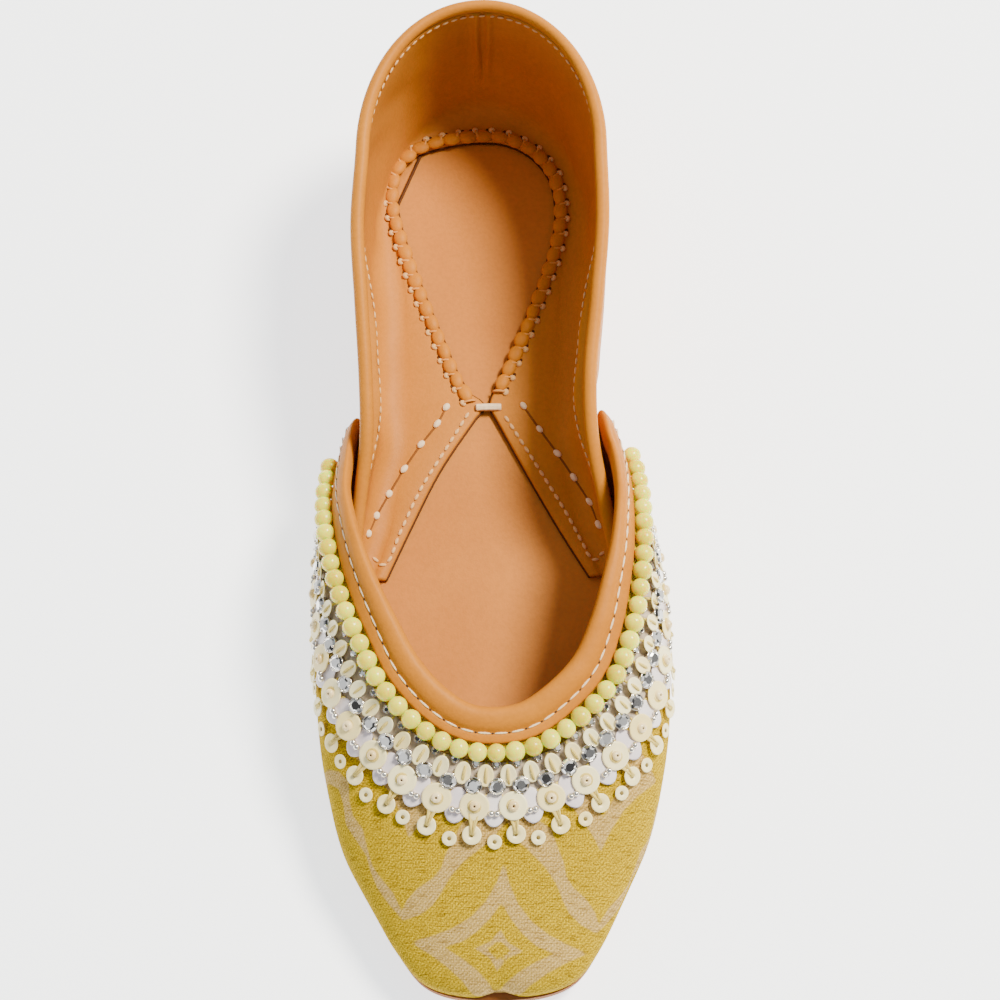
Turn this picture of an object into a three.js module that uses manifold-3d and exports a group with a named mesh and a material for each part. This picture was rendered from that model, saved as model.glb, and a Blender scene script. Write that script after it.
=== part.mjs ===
// An embroidered flat slip-on shoe, open at the instep, built as separate leather and fabric pieces.
// Millimetres, +Z up. The toe points along -Y, the heel along +Y, and the sole rests on Z = 0.
// The shoe is for the right foot: its inner side, by the big toe, is +X.
import * as THREE from "three";
import { mergeVertices } from "three/addons/utils/BufferGeometryUtils.js";
import Module from "manifold-3d";

const wasm = await Module();
wasm.setup();

// Driving dimensions
const LENGTH = 254; // back of the heel's rim to the tip of the toe
const BALL_WIDTH = 91; // the upper across the ball of the foot, at its widest level
const INSTEP_HEIGHT = 38.5; // the vamp above the floor at the middle of the throat
const HEEL_HEIGHT = 63; // the rim above the floor at the back

// Clearance between pieces that touch
const GAP = 0.3;

// Sole
const SOLE_THICKNESS = 4.5;
const SOLE_EDGE = 0.5; // how far the sole reaches past the upper's bottom edge
const SOLE_CHAMFER = 1.1;
const HEEL_LIFT = 3; // extra thickness under the heel
const TOE_SPRING = 4;

// Insole
const INSOLE_THICKNESS = 2.6;
const INSOLE_ROUND = 0.9;

// Quarter: the leather that wraps the heel and turns in over the insole
const QUARTER_WALL = 2.2;
const QUARTER_BULGE = 1.6; // how far the wall swells between sole and rim
const QUARTER_TUCK = 1.7; // room between its foot and the vamp, where it stands behind the vamp
const FLAP_THICKNESS = 1.5;
const FLAP_FILLET = 4.5;
const FLAP_ROUND = 0.5;
const RIM_WIDTH = 3.6;
const RIM_DEPTH = 3.8;

// Vamp
const VAMP_WALL = 2;
const WIDEST_LEVEL = 16; // height at which the ball is widest
const TOE_LEVEL = 12; // the same at the toe
const TOE_NOTCH_DEPTH = 1.8;
const TOE_NOTCH_WIDTH = 3.6;

// Binding along the throat
const BINDING_REACH = 7; // how far its outer leaf covers the vamp
const BINDING_LINING = 2.4; // how far its inner leaf goes down inside
const BINDING_LEATHER = 1.2;
const BINDING_PUFF = 0.8; // how far its padded roll stands above its flat margin
const BINDING_MARGIN = 2.4; // flat edge outside the seam

// Embroidery around the throat
const BEAD_DIAMETER = 4.6;
const BEAD_PITCH = 4.7;
const BEADS_FROM = 0.05; // share of the throat left free of beads at each end
const APPLIQUE_WIDTH = 16;
const APPLIQUE_FROM = 0.1; // share of the throat left free of it at each end
const APPLIQUE_THICKNESS = 0.8;
const SCALLOP_DEPTH = 4;
const DISC_DIAMETER = 7.3;
const DISC_THICKNESS = 0.7;
const DISC_PITCH = 9.4;
const DISC_TO_BINDING = 15.4; // middle of the discs from the binding's edge
const PEARL_DIAMETER = 2.8;

// Bar of thread that ties the two flaps together
const BAR_LENGTH = 7;
const BAR_WIDTH = 1.7;
const BAR_HEIGHT = 1.2;

// Form of the last. along: share of the length from the heel's back to the toe's tip.
// outer, inner: half widths at the widest level, as shares of the ball width.
// crown: height of the closed top, as a share of the instep height.
const LAST = [
  { along: 0.0, outer: 0.341, inner: 0.33, crown: 1.7 },
  { along: 0.1, outer: 0.349, inner: 0.335, crown: 1.7 },
  { along: 0.2, outer: 0.365, inner: 0.343, crown: 1.7 },
  { along: 0.3, outer: 0.363, inner: 0.332, crown: 1.7 },
  { along: 0.38, outer: 0.372, inner: 0.318, crown: 1.69 },
  { along: 0.46, outer: 0.434, inner: 0.386, crown: 1.64 },
  { along: 0.52, outer: 0.472, inner: 0.432, crown: 1.545 },
  { along: 0.6, outer: 0.494, inner: 0.478, crown: 1.38 },
  { along: 0.7, outer: 0.503, inner: 0.497, crown: 1.117 },
  { along: 0.78, outer: 0.477, inner: 0.473, crown: 0.915 },
  { along: 0.86, outer: 0.424, inner: 0.413, crown: 0.735 },
  { along: 0.94, outer: 0.307, inner: 0.304, crown: 0.58 },
  { along: 0.97, outer: 0.264, inner: 0.264, crown: 0.52 },
  { along: 1.0, outer: 0.245, inner: 0.245, crown: 0.46 },
];
const SIDE_POWER = 2.3; // fullness of the last's cross-section
const FEATHER_SHARE = 0.958; // width at the sole as a share of the widest
const FEATHER_DROP = 36; // depth over which the section would close underneath
const TOE_POWER = 8; // bluntness of the toe's outline
const TOE_DEPTH = 32; // length over which the toe closes
const HEEL_DEPTH = 38; // length over which the heel closes
const HEEL_LEAN = 4.2; // how far the rim stands behind the seat at the back

// Top edge of the quarter: half widths over its outer face as shares of the ball width, and the
// height of the rim's top as a share of the heel height. The last row is its front end.
const RIM = [
  { along: 0.0, outer: 0.354, inner: 0.346, height: 1.0 },
  { along: 0.08, outer: 0.351, inner: 0.343, height: 0.975 },
  { along: 0.16, outer: 0.36, inner: 0.345, height: 0.93 },
  { along: 0.24, outer: 0.377, inner: 0.346, height: 0.875 },
  { along: 0.32, outer: 0.368, inner: 0.324, height: 0.815 },
  { along: 0.4, outer: 0.358, inner: 0.299, height: 0.745 },
  { along: 0.46, outer: 0.359, inner: 0.302, height: 0.67 },
  { along: 0.52, outer: 0.384, inner: 0.335, height: 0.555 },
  { along: 0.563, outer: 0.4, inner: 0.362, height: 0.47 },
];

// Free edge of the flaps on the insole: the wall station that each point lies opposite, and the
// point itself. The edges run from the heel round a drop-shaped opening, meet at the waist and
// part again to the two front tips.
const FLAP_EDGE = [
  { wall: 0.0, along: 0.06, outer: 0.0, inner: 0.0 },
  { wall: 0.03, along: 0.07, outer: 0.165, inner: 0.12 },
  { wall: 0.06, along: 0.088, outer: 0.24, inner: 0.18 },
  { wall: 0.1, along: 0.118, outer: 0.27, inner: 0.215 },
  { wall: 0.15, along: 0.16, outer: 0.255, inner: 0.205 },
  { wall: 0.21, along: 0.215, outer: 0.21, inner: 0.17 },
  { wall: 0.29, along: 0.29, outer: 0.13, inner: 0.1 },
  { wall: 0.37, along: 0.365, outer: 0.035, inner: 0.012 },
  { wall: 0.385, along: 0.378, outer: 0.014, inner: 0.004 },
  { wall: 0.4, along: 0.392, outer: 0.042, inner: 0.022 },
  { wall: 0.46, along: 0.45, outer: 0.15, inner: 0.105 },
  { wall: 0.51, along: 0.51, outer: 0.235, inner: 0.195 },
  { wall: 0.563, along: 0.566, outer: 0.308, inner: 0.285 },
];
const BAR_ALONG = 0.38; // where the two flaps meet

// Edge of the vamp round the throat: half widths as shares of the ball width.
const THROAT = [
  { along: 0.42, outer: 0.393, inner: 0.338 },
  { along: 0.443, outer: 0.407, inner: 0.352 },
  { along: 0.472, outer: 0.415, inner: 0.366 },
  { along: 0.508, outer: 0.418, inner: 0.37 },
  { along: 0.543, outer: 0.402, inner: 0.363 },
  { along: 0.579, outer: 0.376, inner: 0.349 },
  { along: 0.618, outer: 0.334, inner: 0.322 },
  { along: 0.655, outer: 0.283, inner: 0.29 },
  { along: 0.6945, outer: 0.222, inner: 0.237 },
  { along: 0.7245, outer: 0.146, inner: 0.153 },
  { along: 0.741, outer: 0.073, inner: 0.076 },
];
const THROAT_POINT = 0.745; // its foremost point, on the middle line

// Stations of the sole's flat spots and arch
const HEEL_BREAST = 0.285;
const BREAST_SLOPE = 0.01;
const BALL_BACK = 0.56;
const BALL_FRONT = 0.78;

// How finely the surfaces are faceted
const SOLE_STATIONS = 36;
const QUARTER_RIBS = 48;
const VAMP_RIBS = 42;
const VAMP_RINGS = 9;
const DENSE_RIBS = 161;
const MARCH_STEP = 1;

const yAt = (along) => LENGTH * (0.5 - along);
const alongAt = (y) => 0.5 - y / LENGTH;
const clamp = (v, low, high) => Math.min(high, Math.max(low, v));
const smoothstep = (v, a, b) => THREE.MathUtils.smoothstep(v, a, b);

// A smooth curve through one column of a table, read at a station.
function column(rows, name, at, key = "along") {
  const last = rows.length - 1;
  const t = clamp(at, rows[0][key], rows[last][key]);
  let i = 0;
  while (i < last - 1 && rows[i + 1][key] < t) i++;
  const slope = (j) => {
    const a = Math.max(0, j - 1);
    const b = Math.min(last, j + 1);
    return (rows[b][name] - rows[a][name]) / (rows[b][key] - rows[a][key]);
  };
  const span = rows[i + 1][key] - rows[i][key];
  const u = (t - rows[i][key]) / span;
  const u2 = u * u;
  const u3 = u2 * u;
  return (
    (2 * u3 - 3 * u2 + 1) * rows[i][name] +
    (u3 - 2 * u2 + u) * span * slope(i) +
    (3 * u2 - 2 * u3) * rows[i + 1][name] +
    (u3 - u2) * span * slope(i + 1)
  );
}

const sideName = (side) => (side < 0 ? "outer" : "inner");

// Half width of the last at its widest level.
const widest = (side, y) =>
  BALL_WIDTH * column(LAST, sideName(side), alongAt(y));

const HEEL_SEAT = yAt(0) - HEEL_LEAN;
const TOE_TIP = yAt(1);

// How much of the width is left where the heel and the toe round off. grow moves both ends out.
function ends(y, grow) {
  const heel = clamp((y - (HEEL_SEAT - HEEL_DEPTH)) / (HEEL_DEPTH + grow), 0, 1);
  const toe = clamp((TOE_TIP + TOE_DEPTH - y) / (TOE_DEPTH + grow), 0, 1);
  return (
    Math.sqrt(1 - heel ** 2) * (1 - toe ** TOE_POWER) ** (1 / SIDE_POWER)
  );
}

// Half width of the upper's bottom edge, moved out by grow.
const featherHalf = (side, y, grow = 0) =>
  (widest(side, y) * FEATHER_SHARE + grow) * ends(y, grow);

// Height of the sole's underside: flat at heel and ball, with an arch and toe spring.
function soleBottom(y) {
  const along = alongAt(y);
  const arch =
    HEEL_LIFT *
    (1 - smoothstep(along, HEEL_BREAST + 0.08, BALL_BACK)) *
    smoothstep(along, HEEL_BREAST, HEEL_BREAST + BREAST_SLOPE);
  const spring =
    TOE_SPRING * clamp((along - BALL_FRONT) / (1 - BALL_FRONT), 0, 1) ** 2;
  return arch + spring;
}

// Height of the sole's top face.
function soleTop(y) {
  const along = alongAt(y);
  const rise = HEEL_LIFT * (1 - smoothstep(along, HEEL_BREAST + 0.08, BALL_BACK));
  const spring =
    TOE_SPRING * clamp((along - BALL_FRONT) / (1 - BALL_FRONT), 0, 1) ** 2;
  return SOLE_THICKNESS + rise + spring;
}

const featherLevel = (y) => soleTop(y) + GAP;
const insoleTop = (y) => featherLevel(y) + INSOLE_THICKNESS;
const flapBottom = (y) => insoleTop(y) + GAP;
const flapTop = (y) => flapBottom(y) + FLAP_THICKNESS;

// A geometry from vertex positions and triangles, turned so that its faces point out.
function solid(points, triangles) {
  let volume = 0;
  for (const [a, b, c] of triangles)
    volume += points[a].dot(points[b].clone().cross(points[c]));
  const index = triangles.flatMap(([a, b, c]) =>
    volume < 0 ? [a, c, b] : [a, b, c],
  );
  return new THREE.BufferGeometry()
    .setAttribute(
      "position",
      new THREE.Float32BufferAttribute(points.flatMap((p) => p.toArray()), 3),
    )
    .setIndex(index);
}

// Triangles that close one end of a loft. The section is a band with `split` points on its first
// side, and the two sides are joined across, keeping pace with each other's length.
function capTriangles(ring, split, start) {
  const reach = (list) =>
    list.reduce((sums, p, k) => {
      sums.push(k ? sums[k - 1] + p.distanceTo(list[k - 1]) : 0);
      return sums;
    }, []);
  const near = reach(ring.slice(0, split));
  const far = reach(ring.slice(split).reverse());
  const triangles = [];
  let i = 0;
  let j = 0;
  while (i < near.length - 1 || j < far.length - 1) {
    const nearNext = i < near.length - 1 ? near[i + 1] / near[near.length - 1] : Infinity;
    const farNext = j < far.length - 1 ? far[j + 1] / far[far.length - 1] : Infinity;
    const across = ring.length - 1 - j;
    if (nearNext <= farNext) {
      triangles.push([start + i, start + i + 1, start + across]);
      i++;
    } else {
      triangles.push([start + i, start + across - 1, start + across]);
      j++;
    }
  }
  return triangles;
}

// A closed body through a row of rings that all have as many points.
function loft(rings, split = rings[0].length / 2) {
  const n = rings[0].length;
  const triangles = [];
  for (let r = 0; r < rings.length - 1; r++)
    for (let i = 0; i < n; i++) {
      const a = r * n + i;
      const b = r * n + ((i + 1) % n);
      triangles.push([a, b, b + n], [a, b + n, a + n]);
    }
  const last = rings.length - 1;
  const first = capTriangles(rings[0], split, 0).map(([a, b, c]) => [c, b, a]);
  return solid(rings.flat(), [...triangles, ...first, ...capTriangles(rings[last], split, last * n)]);
}

// Stations from heel to toe, closer together at the round ends.
function stations(from, to, count) {
  return Array.from({ length: count + 1 }, (_, i) => {
    const u = i / count;
    const eased = 0.5 - 0.5 * Math.cos(Math.PI * u);
    return from + (to - from) * (0.35 * u + 0.65 * eased);
  });
}

function outsole() {
  const tip = 0.04; // the end rings stop just short of a point
  const rows = stations(HEEL_SEAT + SOLE_EDGE - tip, TOE_TIP - SOLE_EDGE + tip, SOLE_STATIONS);
  const breast = [HEEL_BREAST, HEEL_BREAST + BREAST_SLOPE].map(yAt);
  const ys = [...rows, ...breast].sort((a, b) => b - a);
  const rings = ys.map((y) => {
    const low = soleBottom(y);
    const high = soleTop(y);
    const out = featherHalf(-1, y, SOLE_EDGE);
    const inn = featherHalf(1, y, SOLE_EDGE);
    const c = Math.min(SOLE_CHAMFER, 0.4 * out, 0.4 * inn);
    return [
      new THREE.Vector3(-out + c, y, low),
      new THREE.Vector3(-out, y, low + c),
      new THREE.Vector3(-out, y, high),
      new THREE.Vector3(inn, y, high),
      new THREE.Vector3(inn, y, low + c),
      new THREE.Vector3(inn - c, y, low),
    ];
  });
  return loft(rings);
}

// 0 where the quarter is bare, 1 where it tucks in behind the vamp.
const behindVamp = (y) => smoothstep(alongAt(y), 0.36, 0.43);

// How far the quarter stands inside the upper's bottom edge.
const tuck = (y) => (VAMP_WALL + QUARTER_TUCK) * behindVamp(y);

function insole() {
  const inset = (y) => {
    const stack = Math.max(tuck(y) + QUARTER_WALL, VAMP_WALL) + 2 * GAP;
    const alone = VAMP_WALL + 3 * GAP;
    return THREE.MathUtils.lerp(stack, alone, smoothstep(alongAt(y), 0.6, 0.66));
  };
  const back = HEEL_SEAT - QUARTER_WALL - 2 * GAP;
  const front = TOE_TIP + TOE_NOTCH_DEPTH + VAMP_WALL + 3 * GAP;
  const rows = stations(back, front, SOLE_STATIONS - 6);
  const rings = rows.map((y) => {
    const low = featherLevel(y);
    const high = insoleTop(y);
    const out = Math.max(featherHalf(-1, y, -inset(y)), 2);
    const inn = Math.max(featherHalf(1, y, -inset(y)), 2);
    const c = INSOLE_ROUND;
    return [
      new THREE.Vector3(-out, y, low),
      new THREE.Vector3(-out, y, high - c),
      new THREE.Vector3(-out + c, y, high),
      new THREE.Vector3(inn - c, y, high),
      new THREE.Vector3(inn, y, high - c),
      new THREE.Vector3(inn, y, low),
    ];
  });
  return loft(rings);
}

// Station of a quarter rib. turn runs from -1, the front end on the outer side, round the heel
// at 0 to 1, the front end on the inner side. back is where that edge closes behind the heel.
function quarterStation(turn, back) {
  const front = yAt(RIM[RIM.length - 1].along);
  const round = (HEEL_DEPTH * Math.PI) / 2;
  const straight = back - HEEL_DEPTH - front;
  const share = round / (round + straight);
  const q = Math.abs(turn);
  if (q < share) {
    const angle = ((q / share) * Math.PI) / 2;
    return { y: back - HEEL_DEPTH * (1 - Math.cos(angle)), close: Math.sin(angle) };
  }
  const u = (q - share) / (1 - share);
  return { y: back - HEEL_DEPTH - straight * u, close: 1 };
}

// Outer bottom edge of the quarter.
function seatPoint(turn) {
  const side = Math.sign(turn) || 1;
  const { y, close } = quarterStation(turn, HEEL_SEAT);
  const half = widest(side, y) * FEATHER_SHARE - tuck(y);
  return new THREE.Vector3(side * half * close, y, featherLevel(y));
}

// Middle of the rim's rolled edge, above the top of the quarter's wall.
function rimPoint(turn) {
  const side = Math.sign(turn) || 1;
  const { y, close } = quarterStation(turn, yAt(0) - RIM_WIDTH / 2);
  const along = alongAt(y);
  const half = BALL_WIDTH * column(RIM, sideName(side), along) - QUARTER_WALL / 2;
  const top = HEEL_HEIGHT * column(RIM, "height", along);
  return new THREE.Vector3(side * half * close, y, top - RIM_DEPTH / 2);
}

// Direction that points out of the shoe, level, at a rib of the quarter.
function outward(turn, pointAt) {
  const step = 0.01;
  const tangent = pointAt(Math.min(1, turn + step)).sub(pointAt(Math.max(-1, turn - step)));
  return new THREE.Vector3(-tangent.y, tangent.x, 0).normalize();
}

// Free edge of the flap opposite a rib of the quarter.
function flapEdge(turn) {
  const side = Math.sign(turn) || 1;
  const { y } = quarterStation(turn, yAt(0));
  const wall = alongAt(y);
  const x = BALL_WIDTH * column(FLAP_EDGE, sideName(side), wall, "wall");
  const edgeY = yAt(column(FLAP_EDGE, "along", wall, "wall"));
  return new THREE.Vector3(side * x, edgeY, 0);
}

const OUTER_SHARES = [1, 0.84, 0.66, 0.48, 0.3, 0.14, 0];

// One closed section of the quarter: outer face down, under the wall, in along the flap and back
// up the inner face.
function quarterRing(turn) {
  const seat = seatPoint(turn);
  const rim = rimPoint(turn);
  const seatOut = outward(turn, seatPoint);
  const rimOut = outward(turn, rimPoint);
  const wallTop = rim.z - RIM_DEPTH / 2 - GAP;
  const bulge = QUARTER_BULGE * (1 - behindVamp(seat.y));
  const outerAt = (v) => {
    const out = seatOut.clone().lerp(rimOut, v).normalize();
    const top = rim.clone().addScaledVector(rimOut, QUARTER_WALL / 2);
    const p = seat.clone().lerp(top, v);
    p.addScaledVector(out, bulge * Math.sin(Math.PI * v) ** 1.5);
    p.z = THREE.MathUtils.lerp(seat.z, wallTop, v);
    return { p, out };
  };
  const innerAt = (v) => {
    const { p, out } = outerAt(v);
    return p.addScaledVector(out, -QUARTER_WALL);
  };
  const shareOf = (z) => (z - seat.z) / (wallTop - seat.z);
  const top = flapTop(seat.y);
  const under = flapBottom(seat.y);
  const edge = flapEdge(turn);
  const foot = innerAt(shareOf(top));
  const reach = edge.clone().setZ(flapTop(edge.y)).sub(foot);
  const fillet = Math.min(FLAP_FILLET, reach.length() * 0.6);
  const flat = foot.clone().addScaledVector(reach.clone().normalize(), fillet);
  const bend = foot.clone().lerp(flat, 0.32);
  bend.z = top + fillet * 0.3;
  const innerShares = [0.36, 0.58, 0.8, 1];
  return [
    ...OUTER_SHARES.map((v) => outerAt(v).p),
    innerAt(0),
    innerAt(shareOf(under)),
    edge.clone().setZ(flapBottom(edge.y)),
    edge.clone().setZ(flapTop(edge.y) - FLAP_ROUND),
    edge.clone().setZ(flapTop(edge.y)).lerp(flat, FLAP_ROUND / (FLAP_ROUND + reach.length())),
    flat,
    bend,
    innerAt(shareOf(top + fillet)),
    ...innerShares.map(innerAt),
  ];
}

function quarter() {
  const turns = Array.from({ length: QUARTER_RIBS + 1 }, (_, i) => (2 * i) / QUARTER_RIBS - 1);
  return loft(turns.map(quarterRing), OUTER_SHARES.length);
}

// The rolled leather edge along the top of the quarter.
function quarterRim() {
  const sides = 8;
  const rings = [];
  for (let i = 0; i <= QUARTER_RIBS; i++) {
    const turn = (2 * i) / QUARTER_RIBS - 1;
    const middle = rimPoint(turn);
    const out = outward(turn, rimPoint);
    const ring = [];
    for (let k = 0; k < sides; k++) {
      const angle = (2 * Math.PI * (k + 0.5)) / sides;
      const p = middle.clone().addScaledVector(out, (Math.cos(angle) * RIM_WIDTH) / 2);
      p.z += (Math.sin(angle) * RIM_DEPTH) / 2;
      ring.push(p);
    }
    rings.push(ring);
  }
  return loft(rings);
}

// Height at which the last is widest.
const widestLevel = (y) =>
  THREE.MathUtils.lerp(WIDEST_LEVEL, TOE_LEVEL, smoothstep(alongAt(y), 0.7, 1));

const crownLevel = (y) => INSTEP_HEIGHT * column(LAST, "crown", alongAt(y));

// The last's skin is where this is 0. It is below 0 inside.
function lastField(p) {
  const wide = Math.abs(p.x) / widest(Math.sign(p.x) || 1, p.y);
  const level = widestLevel(p.y);
  const tall =
    p.z > level
      ? ((p.z - level) / (crownLevel(p.y) - level)) ** SIDE_POWER
      : ((level - p.z) / FEATHER_DROP) ** 2;
  const notch = TOE_NOTCH_DEPTH * Math.exp(-((p.x / TOE_NOTCH_WIDTH) ** 2));
  const toe = Math.max(0, (TOE_TIP + TOE_DEPTH - p.y) / (TOE_DEPTH - notch));
  return wide ** SIDE_POWER + tall + toe ** TOE_POWER - 1;
}

function fieldSlope(p) {
  const h = 0.02;
  const d = ["x", "y", "z"].map((axis) => {
    const a = p.clone();
    const b = p.clone();
    a[axis] += h;
    b[axis] -= h;
    return (lastField(a) - lastField(b)) / (2 * h);
  });
  return new THREE.Vector3(...d);
}

// Moves a point onto the last's skin and returns the skin's outward direction there.
function ontoLast(p) {
  for (let i = 0; i < 8; i++) {
    const slope = fieldSlope(p);
    p.addScaledVector(slope, -lastField(p) / slope.lengthSq());
  }
  return fieldSlope(p).normalize();
}

// The throat's edge as one curve from the outer end round the front to the inner end.
const throatCurve = new THREE.CatmullRomCurve3(
  [
    ...THROAT.map((r) => new THREE.Vector3(-BALL_WIDTH * r.outer, yAt(r.along), 0)),
    new THREE.Vector3(0, yAt(THROAT_POINT), 0),
    ...[...THROAT].reverse().map((r) => new THREE.Vector3(BALL_WIDTH * r.inner, yAt(r.along), 0)),
  ],
  false,
  "centripetal",
);
throatCurve.arcLengthDivisions = 600;

function throatPoint(t) {
  const p = throatCurve.getPointAt(clamp(t, 0, 1));
  const level = widestLevel(p.y);
  const wide = Math.abs(p.x) / widest(Math.sign(p.x) || 1, p.y);
  const left = Math.max(0.01, 1 - wide ** SIDE_POWER);
  p.z = level + (crownLevel(p.y) - level) * left ** (1 / SIDE_POWER);
  return p;
}

// A line over the last, square to the throat's edge, from that edge down to the sole.
function rib(t) {
  const step = 0.004;
  const p = throatPoint(t);
  let normal = ontoLast(p);
  const along = throatPoint(t + step).sub(throatPoint(t - step)).normalize();
  let heading = along.clone().cross(normal).normalize();
  if (heading.z > 0) heading.negate();
  const points = [{ p: p.clone(), normal, length: 0 }];
  for (let length = MARCH_STEP; length < LENGTH; length += MARCH_STEP) {
    const before = points[points.length - 1];
    p.addScaledVector(heading, MARCH_STEP);
    normal = ontoLast(p);
    heading = p.clone().sub(before.p);
    heading.addScaledVector(normal, -heading.dot(normal)).normalize();
    const floor = featherLevel(p.y);
    if (p.z <= floor) {
      const share = (before.p.z - floor) / (before.p.z - p.z);
      const foot = before.p.clone().lerp(p, share);
      foot.z = featherLevel(foot.y);
      points.push({ p: foot, normal, length: before.length + share * MARCH_STEP });
      break;
    }
    points.push({ p: p.clone(), normal, length });
  }
  return points;
}

const DENSE = Array.from({ length: DENSE_RIBS }, (_, i) => rib(i / (DENSE_RIBS - 1)));

// A point on the vamp's skin: t along the throat, distance from the throat's edge.
// Before the edge, it lies on the skin's tangent there.
function onVamp(t, distance) {
  const place = clamp(t, 0, 1) * (DENSE_RIBS - 1);
  const i = Math.min(DENSE_RIBS - 2, Math.floor(place));
  const read = (points) => {
    const end = points[points.length - 1];
    const d = Math.min(distance, end.length);
    const k = clamp(Math.floor(d / MARCH_STEP), 0, points.length - 2);
    const a = points[k];
    const b = points[k + 1];
    const share = (d - a.length) / (b.length - a.length);
    return {
      p: a.p.clone().add(b.p.clone().sub(a.p).multiplyScalar(share)),
      normal: a.normal.clone().lerp(b.normal, clamp(share, 0, 1)).normalize(),
    };
  };
  const a = read(DENSE[i]);
  const b = read(DENSE[i + 1]);
  const share = place - i;
  return { p: a.p.lerp(b.p, share), normal: a.normal.lerp(b.normal, share).normalize() };
}

const ribLength = (t) => {
  const place = clamp(t, 0, 1) * (DENSE_RIBS - 1);
  const i = Math.min(DENSE_RIBS - 2, Math.floor(place));
  const end = (points) => points[points.length - 1].length;
  return THREE.MathUtils.lerp(end(DENSE[i]), end(DENSE[i + 1]), place - i);
};

// Positions along the throat that are evenly spaced where `placeAt` puts them.
function spaced(placeAt, count) {
  const samples = 400;
  const lengths = [0];
  let before = placeAt(0);
  for (let i = 1; i <= samples; i++) {
    const now = placeAt(i / samples);
    lengths.push(lengths[i - 1] + now.reduce((sum, p, k) => sum + p.distanceTo(before[k]), 0));
    before = now;
  }
  const total = lengths[samples];
  return Array.from({ length: count + 1 }, (_, n) => {
    const goal = (total * n) / count;
    let i = 1;
    while (i < samples && lengths[i] < goal) i++;
    const share = (goal - lengths[i - 1]) / (lengths[i] - lengths[i - 1]);
    return (i - 1 + clamp(share, 0, 1)) / samples;
  });
}

// The vamp and its binding share these ribs, so that their facets lie over each other.
const RIBS = spaced((t) => [onVamp(t, 0).p, onVamp(t, ribLength(t)).p], VAMP_RIBS);

function vamp() {
  const rings = RIBS.map((t) => {
    const beyond = ribLength(t) - BINDING_REACH;
    const stops = [0, BINDING_REACH / 2];
    for (let k = 0; k <= VAMP_RINGS; k++) stops.push(BINDING_REACH + (beyond * k) / VAMP_RINGS);
    const outer = [];
    const inner = [];
    stops.forEach((distance, k) => {
      const { p, normal } = onVamp(t, distance);
      outer.push(p);
      // The bottom edge is cut level, where the sole closes it.
      const into = k === stops.length - 1 ? normal.clone().setZ(0).normalize() : normal;
      inner.push(p.clone().addScaledVector(into, -VAMP_WALL));
    });
    return [...outer, ...inner.reverse()];
  });
  return loft(rings);
}

// Section of the binding: distance from the throat's edge, height above the vamp's skin.
function bindingSection() {
  const over = GAP + BINDING_LEATHER;
  const inside = -VAMP_WALL - GAP;
  const roll = VAMP_WALL / 2 + GAP + BINDING_LEATHER;
  const seam = BINDING_REACH - BINDING_MARGIN;
  return [
    [BINDING_REACH, over - 0.3],
    [seam, over - 0.2],
    [seam - 1.2, over + BINDING_PUFF * 0.8],
    [seam - 2.8, over + BINDING_PUFF],
    [0, over + BINDING_PUFF * 0.6],
    [-roll * 0.75, roll * 0.7 - VAMP_WALL / 2],
    [-roll, -VAMP_WALL / 2],
    [-roll * 0.75, -roll * 0.7 - VAMP_WALL / 2],
    [0, inside - BINDING_LEATHER],
    [BINDING_LINING, inside - BINDING_LEATHER],
    [BINDING_LINING, inside],
    [-GAP, inside],
    [-GAP, GAP],
    [BINDING_REACH / 2, GAP],
    [BINDING_REACH, GAP],
  ];
}

function binding() {
  const section = bindingSection();
  const rings = RIBS.map((t) =>
    section.map(([distance, height]) => {
      const { p, normal } = onVamp(t, distance);
      return p.addScaledVector(normal, height);
    }),
  );
  return loft(rings, section.length - 5);
}

const toManifold = (geometry) => {
  const bare = geometry.clone();
  bare.deleteAttribute("normal");
  bare.deleteAttribute("uv");
  const merged = mergeVertices(bare, 1e-4);
  return new wasm.Manifold(
    new wasm.Mesh({
      numProp: 3,
      vertProperties: new Float32Array(merged.attributes.position.array),
      triVerts: new Uint32Array(merged.index.array),
    }),
  );
};

const toGeometry = (manifold) => {
  const mesh = manifold.getMesh();
  return new THREE.BufferGeometry()
    .setAttribute("position", new THREE.Float32BufferAttribute(mesh.vertProperties, 3))
    .setIndex(Array.from(mesh.triVerts));
};

// Radius of the bead string at a share of its pitch, from one waist between beads to the next.
const BEAD_PROFILE = [
  { share: 0, radius: 0.19 },
  { share: 0.25, radius: 0.44 },
  { share: 0.5, radius: 0.5 },
  { share: 0.75, radius: 0.44 },
];

// The row of round beads on its thread, along the binding's outer edge.
function beadString() {
  const distance = BINDING_REACH + BEAD_DIAMETER / 2 + GAP;
  const sides = 5;
  const place = (u) => {
    const { p, normal } = onVamp(BEADS_FROM + (1 - 2 * BEADS_FROM) * u, distance);
    return { p: p.addScaledVector(normal, BEAD_DIAMETER / 2 + GAP), normal };
  };
  let length = 0;
  for (let i = 1; i <= 200; i++) length += place(i / 200).p.distanceTo(place((i - 1) / 200).p);
  const count = Math.round(length / BEAD_PITCH);
  const steps = count * BEAD_PROFILE.length;
  const places = spaced((u) => [place(u).p], steps);
  const rings = places.map((u, i) => {
    const { p, normal } = place(u);
    const along = place(clamp(u + 0.004, 0, 1)).p.sub(place(clamp(u - 0.004, 0, 1)).p).normalize();
    const across = along.clone().cross(normal).normalize();
    const up = across.clone().cross(along);
    const radius = BEAD_DIAMETER * BEAD_PROFILE[i % BEAD_PROFILE.length].radius;
    return Array.from({ length: sides }, (_, k) => {
      const a = (2 * Math.PI * (k + 0.5)) / sides;
      return p
        .clone()
        .addScaledVector(across, radius * Math.cos(a))
        .addScaledVector(up, radius * Math.sin(a));
    });
  });
  return loft(rings);
}

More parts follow.
